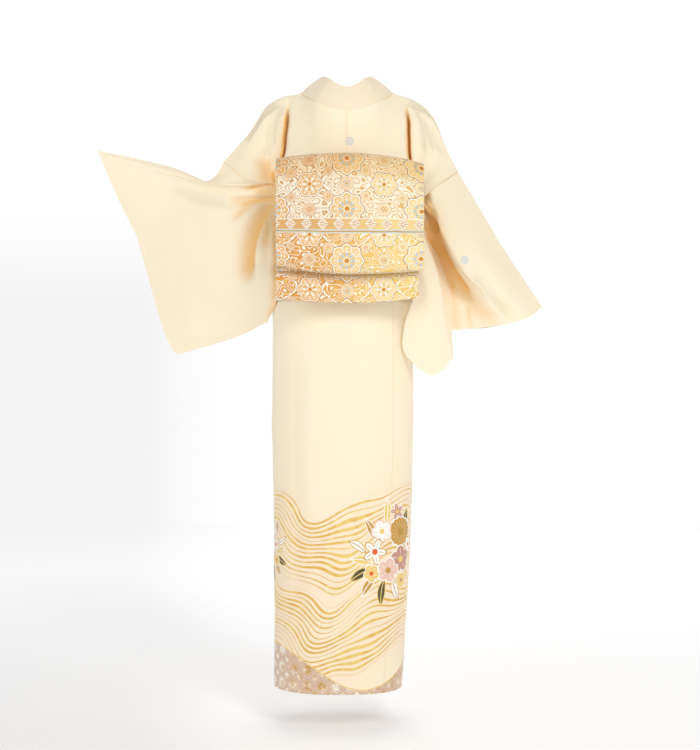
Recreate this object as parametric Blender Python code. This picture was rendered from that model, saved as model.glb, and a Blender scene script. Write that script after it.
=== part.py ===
"""A coloured formal kimono as it is worn, with its brocade belt tied in a square drum at the back.

The wearer faces +Y, so the back faces -Y, and +X is the wearer's right. The origin is midway between
the shoulders, at the height of the shoulder line. All sizes are in metres.
"""

import math
from collections import namedtuple

import bmesh
import bpy
import numpy as np
from mathutils import Vector

# Cloth and belt thicknesses, and the gaps between pieces
SILK = 0.0022
BROCADE = 0.0030
COLLAR_THICK = 0.0040
FOLD_THICK = 0.0040
SEAM_GAP = 0.0003
LAYER_GAP = 0.0006
SEWN_REACH = 0.0010  # a rim point this near a seam's point is sewn there
WRAP_PROUD = 0.0060  # how far the outer front lies off the inner front

# Levels down from the shoulder line
CHEST_END = -0.200
BELT_TOP = -0.215
BELT_LOW = -0.365
FOLD_TOP = -0.330
FOLD_LOW = -0.425
OVERLAP_TOP = -0.400
HEM = -1.245

# The worn body, measured round the outside of the inner layer
ROUNDNESS = 2.4
Ring = namedtuple("Ring", "level half_width centre back front")
RINGS = (
    Ring(-0.200, 0.1360, 0.0000, 0.106, 0.104),
    Ring(-0.290, 0.1300, 0.0000, 0.104, 0.098),
    Ring(-0.380, 0.1380, -0.0040, 0.106, 0.096),
    Ring(-0.450, 0.1470, -0.0060, 0.112, 0.100),
    Ring(-0.620, 0.1475, -0.0060, 0.118, 0.104),
    Ring(-0.720, 0.1485, -0.0070, 0.116, 0.104),
    Ring(-0.850, 0.1440, -0.0060, 0.112, 0.103),
    Ring(-1.000, 0.1415, -0.0095, 0.112, 0.102),
    Ring(-1.120, 0.1370, -0.0125, 0.112, 0.102),
    Ring(HEM, 0.1340, -0.0160, 0.112, 0.104),
)

# Angles round the body, in degrees from the centre of the back, positive towards +X
CENTRE_BACK_TURN = 40  # how far the centre seam is pulled round below the belt
LEFT_SIDE_SEAM = -89
LEFT_OVERLAP_SEAM = -192
LEFT_OVERLAP_EDGE = -256
RIGHT_SIDE_SEAM = 169
RIGHT_OVERLAP_SEAM = 235
RIGHT_OVERLAP_EDGE = 262
NECKLINE_LOW = 197  # where each collar goes under the belt
SLIT_HALF = 3  # half of the open slit under the arm

# The back of a body panel at the chest: along the top edge and round the ring below it
Column = namedtuple("Column", "reach angle crease")
BACK = (
    Column(0.000, 0, 0.0),
    Column(0.035, 10, 0.0),
    Column(0.068, 22, 0.0),
    Column(0.100, 38, 0.0),
    Column(0.113, 54, 0.0),
    Column(0.120, 62, 0.1),
    Column(0.1255, 66, 1.0),
    Column(0.131, 70, -0.1),
    Column(0.147, 75, -0.1),
    Column(0.172, 80, 0.0),
    Column(0.200, 84, 0.0),
    Column(0.228, 87, 0.0),
    Column(0.263, 90, 0.0),
)
NECK_COLUMN = 3  # the panel meets the side of the neck here
ARM_COLUMN = 8  # from here on the panel lies over the upper arm
FRONT_ANGLES = (NECKLINE_LOW, 178, 160, 145, 132, 122, 114, 107, 100, 93)
CREASE_DEPTH = 0.022
CREASE_START = 0.3  # share of the chest's height over which the crease deepens
CREASE_FADE = 0.09  # it fades out this far below the chest, under the belt
CHEST_ROWS = (0.0, 0.02, 0.07, 0.15, 0.26, 0.38, 0.52, 0.68, 0.84, 1.0)
SEAM_ROWS = len(CHEST_ROWS) - 2  # rows of a body panel that end on the sleeve seam
SKIRT_LEVELS = (
    -0.200, -0.245, -0.290, -0.330, -0.370, -0.410, -0.450, -0.520, -0.600,
    -0.690, -0.790, -0.890, -0.990, -1.090, -1.180, HEM,
)
SLIT_END = -0.300
SLIT_DROP = 0.004  # the arm pit's edge sags this far
BREAST = (0.022, 0.160)  # height where the front starts to fall forwards, and the drop to full depth
BREAST_REACH = (0.10, 0.03)  # half width of the breast, and the width of its blend into the side

# The two shoulders differ because one arm is raised and the other is lowered
RIDGE_LEFT = (
    (0.100, -0.005, 0.021),
    (0.138, 0.000, 0.016),
    (0.170, 0.000, -0.001),
    (0.189, -0.002, -0.021),
    (0.208, -0.006, -0.062),
    (0.263, -0.020, -0.128),
)
RIDGE_RIGHT = (
    (0.100, -0.005, 0.021),
    (0.139, 0.000, 0.011),
    (0.166, 0.000, -0.005),
    (0.188, 0.000, -0.032),
    (0.202, 0.000, -0.062),
    (0.216, -0.003, -0.103),
    (0.238, -0.005, -0.146),
)

# The seam between body and sleeve, from the shoulder to the arm pit, on each side of the arm
ARMHOLE = {
    (-1, "back"): (
        (0.263, -0.020, -0.128),
        (0.235, -0.048, -0.153),
        (0.213, -0.060, -0.170),
        (0.152, -0.064, -0.181),
    ),
    (-1, "front"): (
        (0.263, -0.020, -0.128),
        (0.246, 0.022, -0.150),
        (0.212, 0.044, -0.170),
        (0.152, 0.050, -0.186),
    ),
    (1, "back"): (
        (0.238, -0.005, -0.146),
        (0.209, -0.045, -0.170),
        (0.184, -0.068, -0.190),
        (0.161, -0.078, -0.209),
    ),
    (1, "front"): (
        (0.238, -0.005, -0.146),
        (0.222, 0.030, -0.163),
        (0.198, 0.042, -0.184),
        (0.168, 0.040, -0.208),
    ),
}
NECK_SEAM = (
    (0.000, -0.125, -0.037),
    (0.040, -0.119, -0.030),
    (0.074, -0.092, -0.008),
    (0.094, -0.050, 0.012),
    (0.100, -0.005, 0.021),
)

# The collar: where its free edge lies behind the neck, for a reach along the neck seam
COLLAR_WIDTH = 0.054
COLLAR_LIFT = 0.0010  # the free edge stands off the cloth below it
COLLAR_SWELL = 0.002  # the middle of the folded band stands out this far
Edge = namedtuple("Edge", "reach x y z")
COLLAR_BACK = (
    Edge(0.000, 0.000, -0.098, 0.0165),
    Edge(0.035, 0.023, -0.090, 0.026),
    Edge(0.068, 0.037, -0.070, 0.040),
    Edge(0.090, 0.048, -0.040, 0.052),
    Edge(0.100, 0.053, -0.006, 0.058),
)

# Each sleeve is a table of lines that run from the body to the cuff, in millimetres. The faces are
# counted from a line to the next one.
Line = namedtuple("Line", "name faces points")
LEFT_TOP = Line("top fold", 2, ((-263, -20, -128), (-300, 20, -162), (-383, 60, -126), (-558, 120, -79)))
LEFT_END = Line("bottom fold", 0, ((-172, -5, -468), (-230, 35, -495), (-313, 80, -519), (-383, 115, -536)))
LEFT_BACK = (
    LEFT_TOP,
    Line("under the seam", 2, ((-235, -48, -153), (-290, 0, -166), (-382, 50, -138), (-554, 118, -86))),
    Line("above the ridge", 3, ((-213, -60, -170), (-280, -12, -172), (-382, 52, -144), (-552, 117, -90))),
    Line("ridge", 1, ((-152, -64, -181), (-260, -26, -178), (-383, 48, -149), (-550, 112, -97))),
    Line("tuck", 1, ((-159, -54, -189), (-260, -12, -181), (-383, 57, -155), (-547, 118, -103))),
    Line("sheet top", 2, ((-158, -58, -202), (-260, -22, -200), (-382, 54, -176), (-540, 118, -121))),
    Line("elbow level", 2, ((-156, -60, -246), (-258, -20, -253), (-373, 50, -240), (-511, 120, -188))),
    Line("cuff end", 2, ((-158, -55, -315), (-255, -10, -329), (-361, 55, -318), (-469, 120, -273))),
    Line("hip level", 2, ((-163, -40, -385), (-254, 5, -410), (-348, 60, -418), (-444, 120, -362))),
    Line("low level", 2, ((-168, -20, -437), (-243, 30, -475), (-332, 75, -499), (-408, 119, -485))),
    LEFT_END,
)
LEFT_FRONT = (
    LEFT_TOP,
    Line("front of arm", 2, ((-246, 22, -150), (-298, 58, -176), (-383, 96, -140), (-550, 136, -92))),
    Line("front high", 3, ((-212, 44, -170), (-285, 70, -205), (-383, 104, -180), (-540, 142, -121))),
    Line("front armpit", 1, ((-152, 50, -186), (-275, 62, -235), (-380, 104, -216), (-524, 146, -160))),
    Line("front elbow", 2, ((-172, 48, -230), (-272, 55, -262), (-375, 98, -246), (-511, 142, -188))),
    Line("front cuff end", 2, ((-172, 30, -315), (-265, 35, -329), (-365, 84, -318), (-469, 120, -273))),
    Line("front hip", 2, ((-176, 10, -385), (-260, 35, -410), (-351, 82, -418), (-444, 120, -362))),
    Line("front low", 2, ((-178, 6, -437), (-247, 48, -475), (-334, 90, -496), (-417, 120, -462))),
    LEFT_END,
)
RIGHT_TOP = Line("top fold", 3, ((238, -5, -146), (328, 0, -297), (419, 0, -436)))
RIGHT_END = Line("bottom fold", 0, ((122, -85, -270), (117, -90, -490), (176, -84, -590)))
RIGHT_BACK = (
    RIGHT_TOP,
    Line("back of arm", 4, ((209, -45, -170), (286, -58, -334), (383, -32, -461))),
    Line("ridge", 2, ((161, -78, -209), (226, -75, -335), (340, -32, -474))),
    Line("hollow", 1, ((173, -66, -224), (208, -12, -357), (280, -12, -482))),
    Line("cuff end", 2, ((172, -60, -236), (193, -14, -372), (219, -24, -488))),
    Line("strip edge", 1, ((158, -76, -238), (190, -82, -386), (222, -78, -545))),
    Line("strip", 2, ((144, -84, -254), (160, -98, -410), (203, -84, -570))),
    RIGHT_END,
)
RIGHT_FRONT = (
    RIGHT_TOP,
    Line("front of arm", 4, ((222, 30, -163), (301, 45, -306), (374, 22, -462))),
    Line("front armpit", 3, ((168, 40, -208), (268, 46, -332), (296, 14, -481))),
    Line("front cuff end", 2, ((176, 22, -232), (236, 26, -350), (219, -24, -488))),
    Line("front low", 1, ((172, 0, -240), (208, -12, -396), (222, -78, -545))),
    Line("behind strip", 2, ((148, -50, -254), (166, -66, -412), (203, -84, -570))),
    RIGHT_END,
)
SLEEVE_COLUMNS = 11

# The belt at the back: the profile of the drum, from the band's top over the pad and down
DRUM_WIDTH = 0.298
DRUM_CENTRE = 0.006
Bend = namedtuple("Bend", "back level end_drop")
DRUM = (
    Bend(-0.1203, -0.235, 0.0),
    Bend(-0.1215, -0.200, 0.3),
    Bend(-0.1250, -0.176, 0.6),
    Bend(-0.1340, -0.152, 1.0),
    Bend(-0.1520, -0.138, 1.0),
    Bend(-0.1730, -0.133, 1.0),
    Bend(-0.1900, -0.139, 1.0),
    Bend(-0.1980, -0.156, 0.9),
    Bend(-0.2020, -0.200, 0.5),
    Bend(-0.2040, -0.260, 0.2),
    Bend(-0.2020, -0.320, -0.3),
    Bend(-0.1970, -0.360, -0.8),
    Bend(-0.1900, -0.376, -1.0),
    Bend(-0.1800, -0.380, -1.0),
    Bend(-0.1710, -0.374, -1.0),
    Bend(-0.1665, -0.355, -0.8),
    Bend(-0.1650, -0.310, 0.0),
    Bend(-0.1650, -0.250, 0.0),
)
DRUM_TOP_DROP = (0.011, 0.023)  # at the left and the right end of the upper edge
DRUM_LOW_RISE = (0.017, 0.007)  # the same at the lower edge
DRUM_DEEP = -0.175  # behind this the drum's ends curl towards the wearer
DRUM_CURL = 0.004
BAND_LEVELS = (BELT_TOP, -0.265, -0.315, BELT_LOW)
FOLD_LEVELS = (FOLD_TOP, -0.365, -0.400, FOLD_LOW)
BAND_STEPS = 48  # faces round the waist
FLAT_STEPS = 8  # faces across the drum and the belt's ends
Flat = namedtuple("Flat", "width centre high low sag")
HAND = Flat(0.297, 0.0025, -0.260, -0.372, 0.0)
TAIL = Flat(0.291, 0.0010, -0.235, -0.437, 0.0105)
FLAT_ROWS = 5

SILK_COLOUR = (0.95, 0.86, 0.68)
COLLAR_COLOUR = (0.95, 0.84, 0.68)
GOLD = (0.83, 0.62, 0.30)
SILK_ROUGHNESS = 0.55
GOLD_ROUGHNESS = 0.40
GOLD_METAL = 0.3
CURVE_STEPS = 24  # points between two given ones while a curve is measured
SHARP_ANGLE = 50  # degrees between faces that keep a hard edge


def spline(points, count):
    """Count points, evenly spaced, on a smooth curve through the given points."""
    p = [Vector(q) for q in points]
    ends = [2 * p[0] - p[1]] + p + [2 * p[-1] - p[-2]]
    fine = []
    for a, b, c, d in zip(ends, ends[1:], ends[2:], ends[3:]):
        for k in range(CURVE_STEPS):
            t = k / CURVE_STEPS
            bend = (2 * a - 5 * b + 4 * c - d) * t * t + (3 * b - a - 3 * c + d) * t**3
            fine.append((2 * b + (c - a) * t + bend) / 2)
    fine.append(p[-1])
    run = [0.0]
    for a, b in zip(fine, fine[1:]):
        run.append(run[-1] + (b - a).length)
    return [at_length(fine, run, run[-1] * k / (count - 1)) for k in range(count)]


def at_length(points, run, length):
    """The point that lies a given length along a line of points."""
    i = min(max(int(np.searchsorted(run, length)), 1), len(points) - 1)
    t = (length - run[i - 1]) / max(run[i] - run[i - 1], 1e-12)
    return points[i - 1].lerp(points[i], min(max(t, 0.0), 1.0))


def ease(t):
    """Zero to one with no slope at either end."""
    t = min(max(t, 0.0), 1.0)
    return t * t * (3 - 2 * t)


def ring_sizes(level):
    """Half width, centre, back and front of the worn body at a level."""
    levels = [-ring.level for ring in RINGS]
    return [float(np.interp(-level, levels, sizes)) for sizes in list(zip(*RINGS))[1:]]


def ring_point(level, degrees, proud=0.0):
    """A point on the worn body at a level and an angle from the centre of the back."""
    half, centre, back, front = ring_sizes(level)
    s, c = math.sin(math.radians(degrees)), math.cos(math.radians(degrees))
    power = 2 / ROUNDNESS
    depth = (back if c > 0 else front) + proud
    x = centre + (half + proud) * math.copysign(abs(s) ** power, s)
    y = -depth * math.copysign(abs(c) ** power, c)
    return Vector((x, y, level))


def left_proud(degrees):
    """The outer front lifts off the inner one from the wearer's left side on."""
    return WRAP_PROUD * ease((-degrees - 55) / 35)


def outward(point):
    """The direction away from the wearer, the same for both pieces at a seam."""
    x, y, z = point
    spine = Vector((-0.006, 0.0, z))
    if z > CHEST_END:
        reach = min(max(abs(x) - 0.03, 0.0), 0.25)
        spine = Vector((math.copysign(reach * 0.8, x), 0.0, min(z, -0.085 - 0.25 * reach)))
    return (Vector(point) - spine).normalized()


class Surface:
    """Points and faces of an open cloth surface, faces seen from outside run anticlockwise."""

    def __init__(self):
        self.points = []
        self.faces = []

    def add(self, rows, flip=False):
        start = len(self.points)
        wide = len(rows[0])
        for row in rows:
            self.points.extend(Vector(p) for p in row)
        for i in range(len(rows) - 1):
            for j in range(wide - 1):
                a = start + i * wide + j
                face = (a, a + wide, a + wide + 1, a + 1)
                self.faces.append(tuple(reversed(face)) if flip else face)

    def welded(self):
        """Points that coincide become one, and faces that collapse are dropped."""
        seen, index, points = {}, [], []
        for p in self.points:
            key = tuple(round(c * 20000) for c in p)
            if key not in seen:
                seen[key] = len(points)
                points.append(p)
            index.append(seen[key])
        faces = []
        for face in self.faces:
            corners = []
            for k in face:
                if index[k] not in corners:
                    corners.append(index[k])
            if len(corners) > 2:
                faces.append(tuple(corners))
        return points, faces


def wall(name, surface, thickness, material, sewn=()):
    """A closed wall: the surface, the same moved inwards, and a rim along each open edge.

    At the sewn points the rim follows the direction that both pieces of the seam share.
    """
    points, faces = surface.welded()
    normals = [Vector() for _ in points]
    sides = {}
    for face in faces:
        n = len(face)
        a, b, c = points[face[0]], points[face[1]], points[face[2]]
        area = (b - a).cross(c - a)
        if n == 4:
            area = (c - a).cross(points[face[3]] - b)
        for k in range(n):
            normals[face[k]] += area
            sides[(face[k], face[(k + 1) % n])] = True
    rim = [e for e in sides if (e[1], e[0]) not in sides]
    open_points = {k for e in rim for k in e}
    inner = []
    for k, p in enumerate(points):
        shared = k in open_points and any((p - q).length < SEWN_REACH for q in sewn)
        normal = outward(p) if shared else normals[k].normalized()
        inner.append(p - normal * thickness)
    count = len(points)
    solid = list(faces)
    solid += [tuple(reversed([k + count for k in face])) for face in faces]
    solid += [(b, a, a + count, b + count) for a, b in rim]
    return add_mesh(name, points + inner, solid, material)


def add_mesh(name, points, faces, material):
    mesh = bpy.data.meshes.new(name)
    mesh.from_pydata([tuple(p) for p in points], [], faces)
    bm = bmesh.new()
    bm.from_mesh(mesh)
    bmesh.ops.triangulate(bm, faces=bm.faces, quad_method="SHORT_EDGE")
    bm.to_mesh(mesh)
    bm.free()
    mesh.shade_smooth()
    mesh.set_sharp_from_angle(angle=math.radians(SHARP_ANGLE))
    mesh.materials.append(material)
    item = bpy.data.objects.new(name, mesh)
    bpy.context.scene.collection.objects.link(item)
    return item


def finish(name, colour, roughness, metallic=0.0):
    material = bpy.data.materials.new(name)
    material.use_nodes = True
    shader = material.node_tree.nodes["Principled BSDF"]
    shader.inputs["Base Color"].default_value = (*colour, 1.0)
    shader.inputs["Roughness"].default_value = roughness
    shader.inputs["Metallic"].default_value = metallic
    material.diffuse_color = (*colour, 1.0)
    return material


def mirrored(points, side):
    return [Vector((side * p[0], p[1], p[2])) for p in points]


def pull_back(rows, column, gap=SEAM_GAP):
    """Moves one edge of a grid half a seam gap towards its own side."""
    towards = 1 if column == 0 else -2
    for row in rows:
        step = row[towards] - row[column]
        if step.length > 4 * gap:
            row[column] = row[column] + step.normalized() * gap / 2


def ridge_point(side, reach):
    """The top edge of a body panel: the neck seam first, then the shoulder ridge."""
    ridge = RIDGE_LEFT if side < 0 else RIDGE_RIGHT
    line = NECK_SEAM if reach < ridge[0][0] else ridge
    xs, ys, zs = zip(*line)
    x = min(reach, xs[-1])
    return Vector((side * x, float(np.interp(x, xs, ys)), float(np.interp(x, xs, zs))))


def chest(x, z):
    """How far the front stands forward at the breast, level with the inner front."""
    half, _, _, front = ring_sizes(CHEST_END)
    spread = max(1 - (abs(x) / half) ** ROUNDNESS, 0.0) ** (1 / ROUNDNESS)
    start, depth = BREAST
    drop = min(max((start - z) / depth, 0.0), 1.0)
    return front * spread * math.sqrt(1 - (1 - drop) ** 2)


def armhole_seam(side, face):
    """The points that a body panel and its sleeve share, from the shoulder to the arm pit."""
    return mirrored(spline(ARMHOLE[(side, face)], SEAM_ROWS), side)


def across_seam(points, side):
    """At each point of a sleeve seam, the direction along the cloth from the body to the sleeve."""
    steps = []
    for i, p in enumerate(points):
        along = points[min(i + 1, len(points) - 1)] - points[max(i - 1, 0)]
        across = along.cross(outward(p)).normalized()
        steps.append(across if across.dot(Vector((side, 0, -0.5))) > 0 else -across)
    return steps


def side_edge(side, face):
    """The open edge of a panel from the shoulder to the slit under the arm, at the chest rows."""
    seam = armhole_seam(side, face)
    angle = 90 - SLIT_HALF if face == "back" else 90 + SLIT_HALF
    low = ring_point(CHEST_END, side * angle)
    return seam + [seam[-1].lerp(low, 0.5) - Vector((0, 0, SLIT_DROP)), low]


def chest_back(side):
    """The back of one panel above the belt, with the deep crease beside the shoulder blade."""
    edge = side_edge(side, "back")
    last = len(BACK) - 1
    rows = []
    for i, v in enumerate(CHEST_ROWS):
        row = []
        arch = math.sqrt(1 - (1 - v) ** 2)
        for j, column in enumerate(BACK):
            low = ring_point(CHEST_END, side * min(column.angle, 90 - SLIT_HALF))
            back = 1 - ridge_point(side, column_reach(side, j)).y / low.y
            p = top_to_low(side, column_reach(side, j), low, v, v + (arch - v) * max(back, 0.0))
            if j >= ARM_COLUMN:
                end = top_to_low(side, column_reach(side, last), edge[-1], v, arch)
                share = (j - ARM_COLUMN + 1) / (last - ARM_COLUMN + 1)
                p += (edge[i] - end) * share**2
            p.y += CREASE_DEPTH * column.crease * ease(v / CREASE_START)
            row.append(p)
        row[-1] = edge[i].copy()
        rows.append(row)
    return rows


def chest_front(side):
    """The front of one panel above the belt, from the collar seam to the armhole."""
    edge = side_edge(side, "front")
    proud = WRAP_PROUD if side < 0 else 0.0
    last = len(BACK) - 1
    rows = []
    for i, v in enumerate(CHEST_ROWS):
        row = []
        arch = math.sqrt(1 - (1 - v) ** 2)
        for j, angle in enumerate(FRONT_ANGLES, NECK_COLUMN):
            low = ring_point(CHEST_END, side * angle, proud)
            p = top_to_low(side, column_reach(side, j), low, v, arch)
            if j >= ARM_COLUMN:
                end = top_to_low(side, column_reach(side, last), edge[-1], v, arch)
                share = (j - ARM_COLUMN + 1) / (last - ARM_COLUMN + 1)
                p += (edge[i] - end) * share**2
            if v > 0:
                half, blend = BREAST_REACH
                near = 1 - ease((abs(p.x) - half) / blend)
                p.y += near * (chest(p.x, p.z) + proud * min(v * 3, 1.0) - p.y)
            row.append(p)
        row[-1] = edge[i].copy()
        rows.append(row)
    return rows


def column_reach(side, j):
    """How far from the centre of the back a column starts, for the two unlike shoulders."""
    if j <= ARM_COLUMN:
        return BACK[j].reach
    ridge = RIDGE_LEFT if side < 0 else RIDGE_RIGHT
    share = (j - ARM_COLUMN) / (len(BACK) - 1 - ARM_COLUMN)
    return BACK[ARM_COLUMN].reach + (ridge[-1][0] - BACK[ARM_COLUMN].reach) * share


def top_to_low(side, reach, low, v, fall):
    """A point between the top edge and the end of the chest; the fall says how far back it lies."""
    top = ridge_point(side, reach)
    p = top.lerp(low, v)
    p.y = top.y + (low.y - top.y) * fall
    return p


def below_chest(level, top_angle, low_angle):
    """Angles turn from their place at the chest to their place in the skirt, under the belt."""
    share = ease((CHEST_END - level) / (CHEST_END - OVERLAP_TOP))
    return top_angle + (low_angle - top_angle) * share


def skirt_rows(side, face):
    """One panel from the chest to the hem, as rows of points at the skirt's levels."""
    if face == "back":
        tops = [min(column.angle, 90 - SLIT_HALF) for column in BACK]
        ends = (CENTRE_BACK_TURN, LEFT_SIDE_SEAM if side < 0 else RIGHT_SIDE_SEAM)
    else:
        tops = [max(a, 90 + SLIT_HALF) for a in FRONT_ANGLES]
        ends = (
            LEFT_OVERLAP_SEAM if side < 0 else RIGHT_OVERLAP_SEAM,
            LEFT_SIDE_SEAM if side < 0 else RIGHT_SIDE_SEAM,
        )
    last = len(tops) - 1
    rows = []
    for level in SKIRT_LEVELS:
        row = []
        for j, top in enumerate(tops):
            low = ends[0] + (ends[1] - ends[0]) * j / last
            angle = below_chest(level, side * top, low)
            if j == last and level < SLIT_END:
                angle = below_chest(level, side * 90, low)
            proud = left_proud(angle) if side < 0 else 0.0
            p = ring_point(level, angle, proud)
            crease = BACK[j].crease if face == "back" else 0.0
            p.y += CREASE_DEPTH * crease * (1 - ease((CHEST_END - level) / CREASE_FADE))
            row.append(p)
        rows.append(row)
    return rows


def front_start(side, rows):
    """The chest rows join the skirt rows, which share the row at the end of the chest."""
    if side < 0:
        rows[-1] = [ring_point(CHEST_END, side * a, left_proud(side * a)) for a in FRONT_ANGLES]
    return rows


def body_panel(side, material):
    """One length of silk from the back hem over the shoulder to the front hem."""
    back = chest_back(side) + skirt_rows(side, "back")[1:]
    front = front_start(side, chest_front(side)) + skirt_rows(side, "front")[1:]
    pull_back(back, 0)
    pull_back(front, 0)
    for row in range(NECK_COLUMN + 1):
        back[0][row] = back[0][row] + (back[1][row] - back[0][row]).normalized() * SEAM_GAP
    for rows, face in ((back, "back"), (front, "front")):
        across = across_seam(armhole_seam(side, face), side)
        for row, step in zip(rows, across):
            row[-1] = row[-1] - step * SEAM_GAP
    front[0][-1] = back[0][-1].copy()
    front[0][0] = back[0][NECK_COLUMN].copy()
    surface = Surface()
    surface.add(back, flip=side < 0)
    surface.add(front, flip=side > 0)
    sewn = [row[0] for row in back + front] + back[0] + [row[-1] for row in back + front]
    return wall("body_left" if side < 0 else "body_right", surface, SILK, material, sewn)


def overlap_panel(side, material):
    """The narrow length sewn to a front edge, from under the waist fold to the hem."""
    start, end, columns = RIGHT_OVERLAP_SEAM, RIGHT_OVERLAP_EDGE, 4
    if side < 0:
        start, end, columns = LEFT_OVERLAP_SEAM, LEFT_OVERLAP_EDGE, 6
    rows = []
    for level in [lv for lv in SKIRT_LEVELS if lv < OVERLAP_TOP]:
        row = []
        for j in range(columns):
            angle = start + (end - start) * j / (columns - 1)
            proud = WRAP_PROUD if side < 0 else 0.0
            row.append(ring_point(level, angle, proud))
        rows.append(row)
    pull_back(rows, 0)
    surface = Surface()
    surface.add(rows, flip=side < 0)
    sewn = [row[0] for row in rows]
    return wall("overlap_left" if side < 0 else "overlap_right", surface, SILK, material, sewn)


def band_ring(name, levels, inner, thickness, material):
    """A band round the waist: its outline runs down the outside and up the inside."""
    outline = [(level, inner + thickness) for level in levels]
    outline += [(level, inner) for level in reversed(levels)]
    points, faces = [], []
    for level, proud in outline:
        for k in range(BAND_STEPS):
            points.append(ring_point(level, 360 * k / BAND_STEPS, proud))
    for i in range(len(outline)):
        here, below = i * BAND_STEPS, (i + 1) % len(outline) * BAND_STEPS
        for k in range(BAND_STEPS):
            beside = (k + 1) % BAND_STEPS
            faces.append((here + k, below + k, below + beside, here + beside))
    return add_mesh(name, points, faces, material)


def collar_edge_front(side, seam, along):
    """The free edge on the front lies a collar's width across the chest from the seam."""
    across = Vector((along.z, 0, -along.x)).normalized()
    if across.z < 0:
        across = -across
    edge = seam + across * COLLAR_WIDTH
    proud = WRAP_PROUD + COLLAR_LIFT if side < 0 else COLLAR_LIFT
    return Vector((edge.x, chest(edge.x, edge.z) + proud, edge.z))


def collar_half(side):
    """Seam and free edge of the collar from the centre of the back to under the belt."""
    reaches, *axes = zip(*COLLAR_BACK)
    seams = chest_back(side)[0][: NECK_COLUMN + 1]
    edges = []
    for column in BACK[: NECK_COLUMN + 1]:
        x, y, z = [float(np.interp(column.reach, reaches, values)) for values in axes]
        edges.append(Vector((side * x, y, z)))
    neck = edges[-1]
    front = [row[0] for row in front_start(side, chest_front(side))] + [skirt_rows(side, "front")[1][0]]
    along = front[-2] - front[0]
    for share, seam in zip(CHEST_ROWS[1:] + (1.2,), front[1:]):
        edge = collar_edge_front(side, seam, along)
        turn = ease(share / 0.2)
        seams.append(seam)
        edges.append(neck.lerp(edge, turn) if turn < 1 else edge)
    return seams, edges


def collar(material):
    """One band, folded along its length, from under the belt round the neck and back."""
    right_seams, right_edges = collar_half(1)
    left_seams, left_edges = collar_half(-1)
    seams = right_seams[::-1] + left_seams[1:]
    edges = right_edges[::-1] + left_edges[1:]
    rows = []
    for s, e in zip(seams, edges):
        start = s + (e - s).normalized() * SEAM_GAP
        middle = s.lerp(e, 0.5)
        rows.append([start, middle + outward(middle) * COLLAR_SWELL, e])
    surface = Surface()
    surface.add(rows, flip=True)
    return wall("collar", surface, COLLAR_THICK, material, seams)


def sleeve_rows(lines, columns, seam):
    """Smooth rows of points through the lines of a sleeve table, the first ones on the seam."""
    coarse = [spline([Vector(p) / 1000 for p in line.points], columns) for line in lines]
    rows = []
    for i, line in enumerate(lines[:-1]):
        for k in range(line.faces):
            rows.append([between(coarse, i, j, k / line.faces) for j in range(columns)])
    rows.append(coarse[-1])
    for row, point, step in zip(rows, seam, across_seam(seam, math.copysign(1, seam[0].x))):
        row[0] = point + step * SEAM_GAP
    return rows


def between(coarse, i, j, t):
    """A point between line i and the next one, on a curve that doesn't overshoot."""
    a, d = coarse[max(i - 1, 0)][j], coarse[min(i + 2, len(coarse) - 1)][j]
    b, c = coarse[i][j], coarse[i + 1][j]
    reach = 0.8 * (c - b).length
    start, stop = (c - a) / 2, (d - b) / 2
    start = start.normalized() * min(start.length, reach)
    stop = stop.normalized() * min(stop.length, reach)
    keep = 2 * t**3 - 3 * t**2
    return b * (keep + 1) + start * (t**3 - 2 * t**2 + t) - c * keep + stop * (t**3 - t**2)


def cuff_line(lines):
    """The row at which the cuff's opening ends and the sewn outer seam begins."""
    end = next(i for i, line in enumerate(lines) if "cuff end" in line.name)
    return sum(line.faces for line in lines[:end])


def sleeve(side, material):
    """A bag: folded along the top, sewn along the bottom and up the outer edge to the cuff."""
    back_lines, front_lines = (LEFT_BACK, LEFT_FRONT) if side < 0 else (RIGHT_BACK, RIGHT_FRONT)
    back = sleeve_rows(back_lines, SLEEVE_COLUMNS, armhole_seam(side, "back"))
    front = sleeve_rows(front_lines, SLEEVE_COLUMNS, armhole_seam(side, "front"))
    front[0][0] = back[0][0].copy()
    for back_row, front_row in zip(back[cuff_line(back_lines) :], front[cuff_line(front_lines) :]):
        front_row[-1] = back_row[-1].copy()
    surface = Surface()
    surface.add(back, flip=side < 0)
    surface.add(front, flip=side > 0)
    sewn = armhole_seam(side, "back") + armhole_seam(side, "front")
    return wall("sleeve_left" if side < 0 else "sleeve_right", surface, SILK, material, sewn)


def drum(material):
    """The brocade, folded into a square drum that is open at both sides."""
    rows = []
    for back, level, drop in DRUM:
        row = []
        for k in range(FLAT_STEPS + 1):
            across = 2 * k / FLAT_STEPS - 1
            x = DRUM_CENTRE + across * DRUM_WIDTH / 2
            reach = (DRUM_TOP_DROP if drop > 0 else DRUM_LOW_RISE)[0 if across < 0 else 1]
            sag = reach * across * across * drop
            curl = DRUM_CURL * across * across if back < DRUM_DEEP else 0.0
            row.append(Vector((x, back + curl, level - sag)))
        rows.append(row)
    surface = Surface()
    surface.add(rows)
    return wall("obi_drum", surface, BROCADE, material)


def flat_band(name, flat, back, material):
    """A flat stretch of the belt; its lower edge sags less towards the sides."""
    rows = []
    for i in range(FLAT_ROWS):
        share = i / (FLAT_ROWS - 1)
        level = flat.high + (flat.low - flat.high) * share
        row = []
        for k in range(FLAT_STEPS + 1):
            across = 2 * k / FLAT_STEPS - 1
            sag = flat.sag * across * across * share
            row.append(Vector((flat.centre + across * flat.width / 2, back, level + sag)))
        rows.append(row)
    surface = Surface()
    surface.add(rows)
    return wall(name, surface, BROCADE, material)


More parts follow.
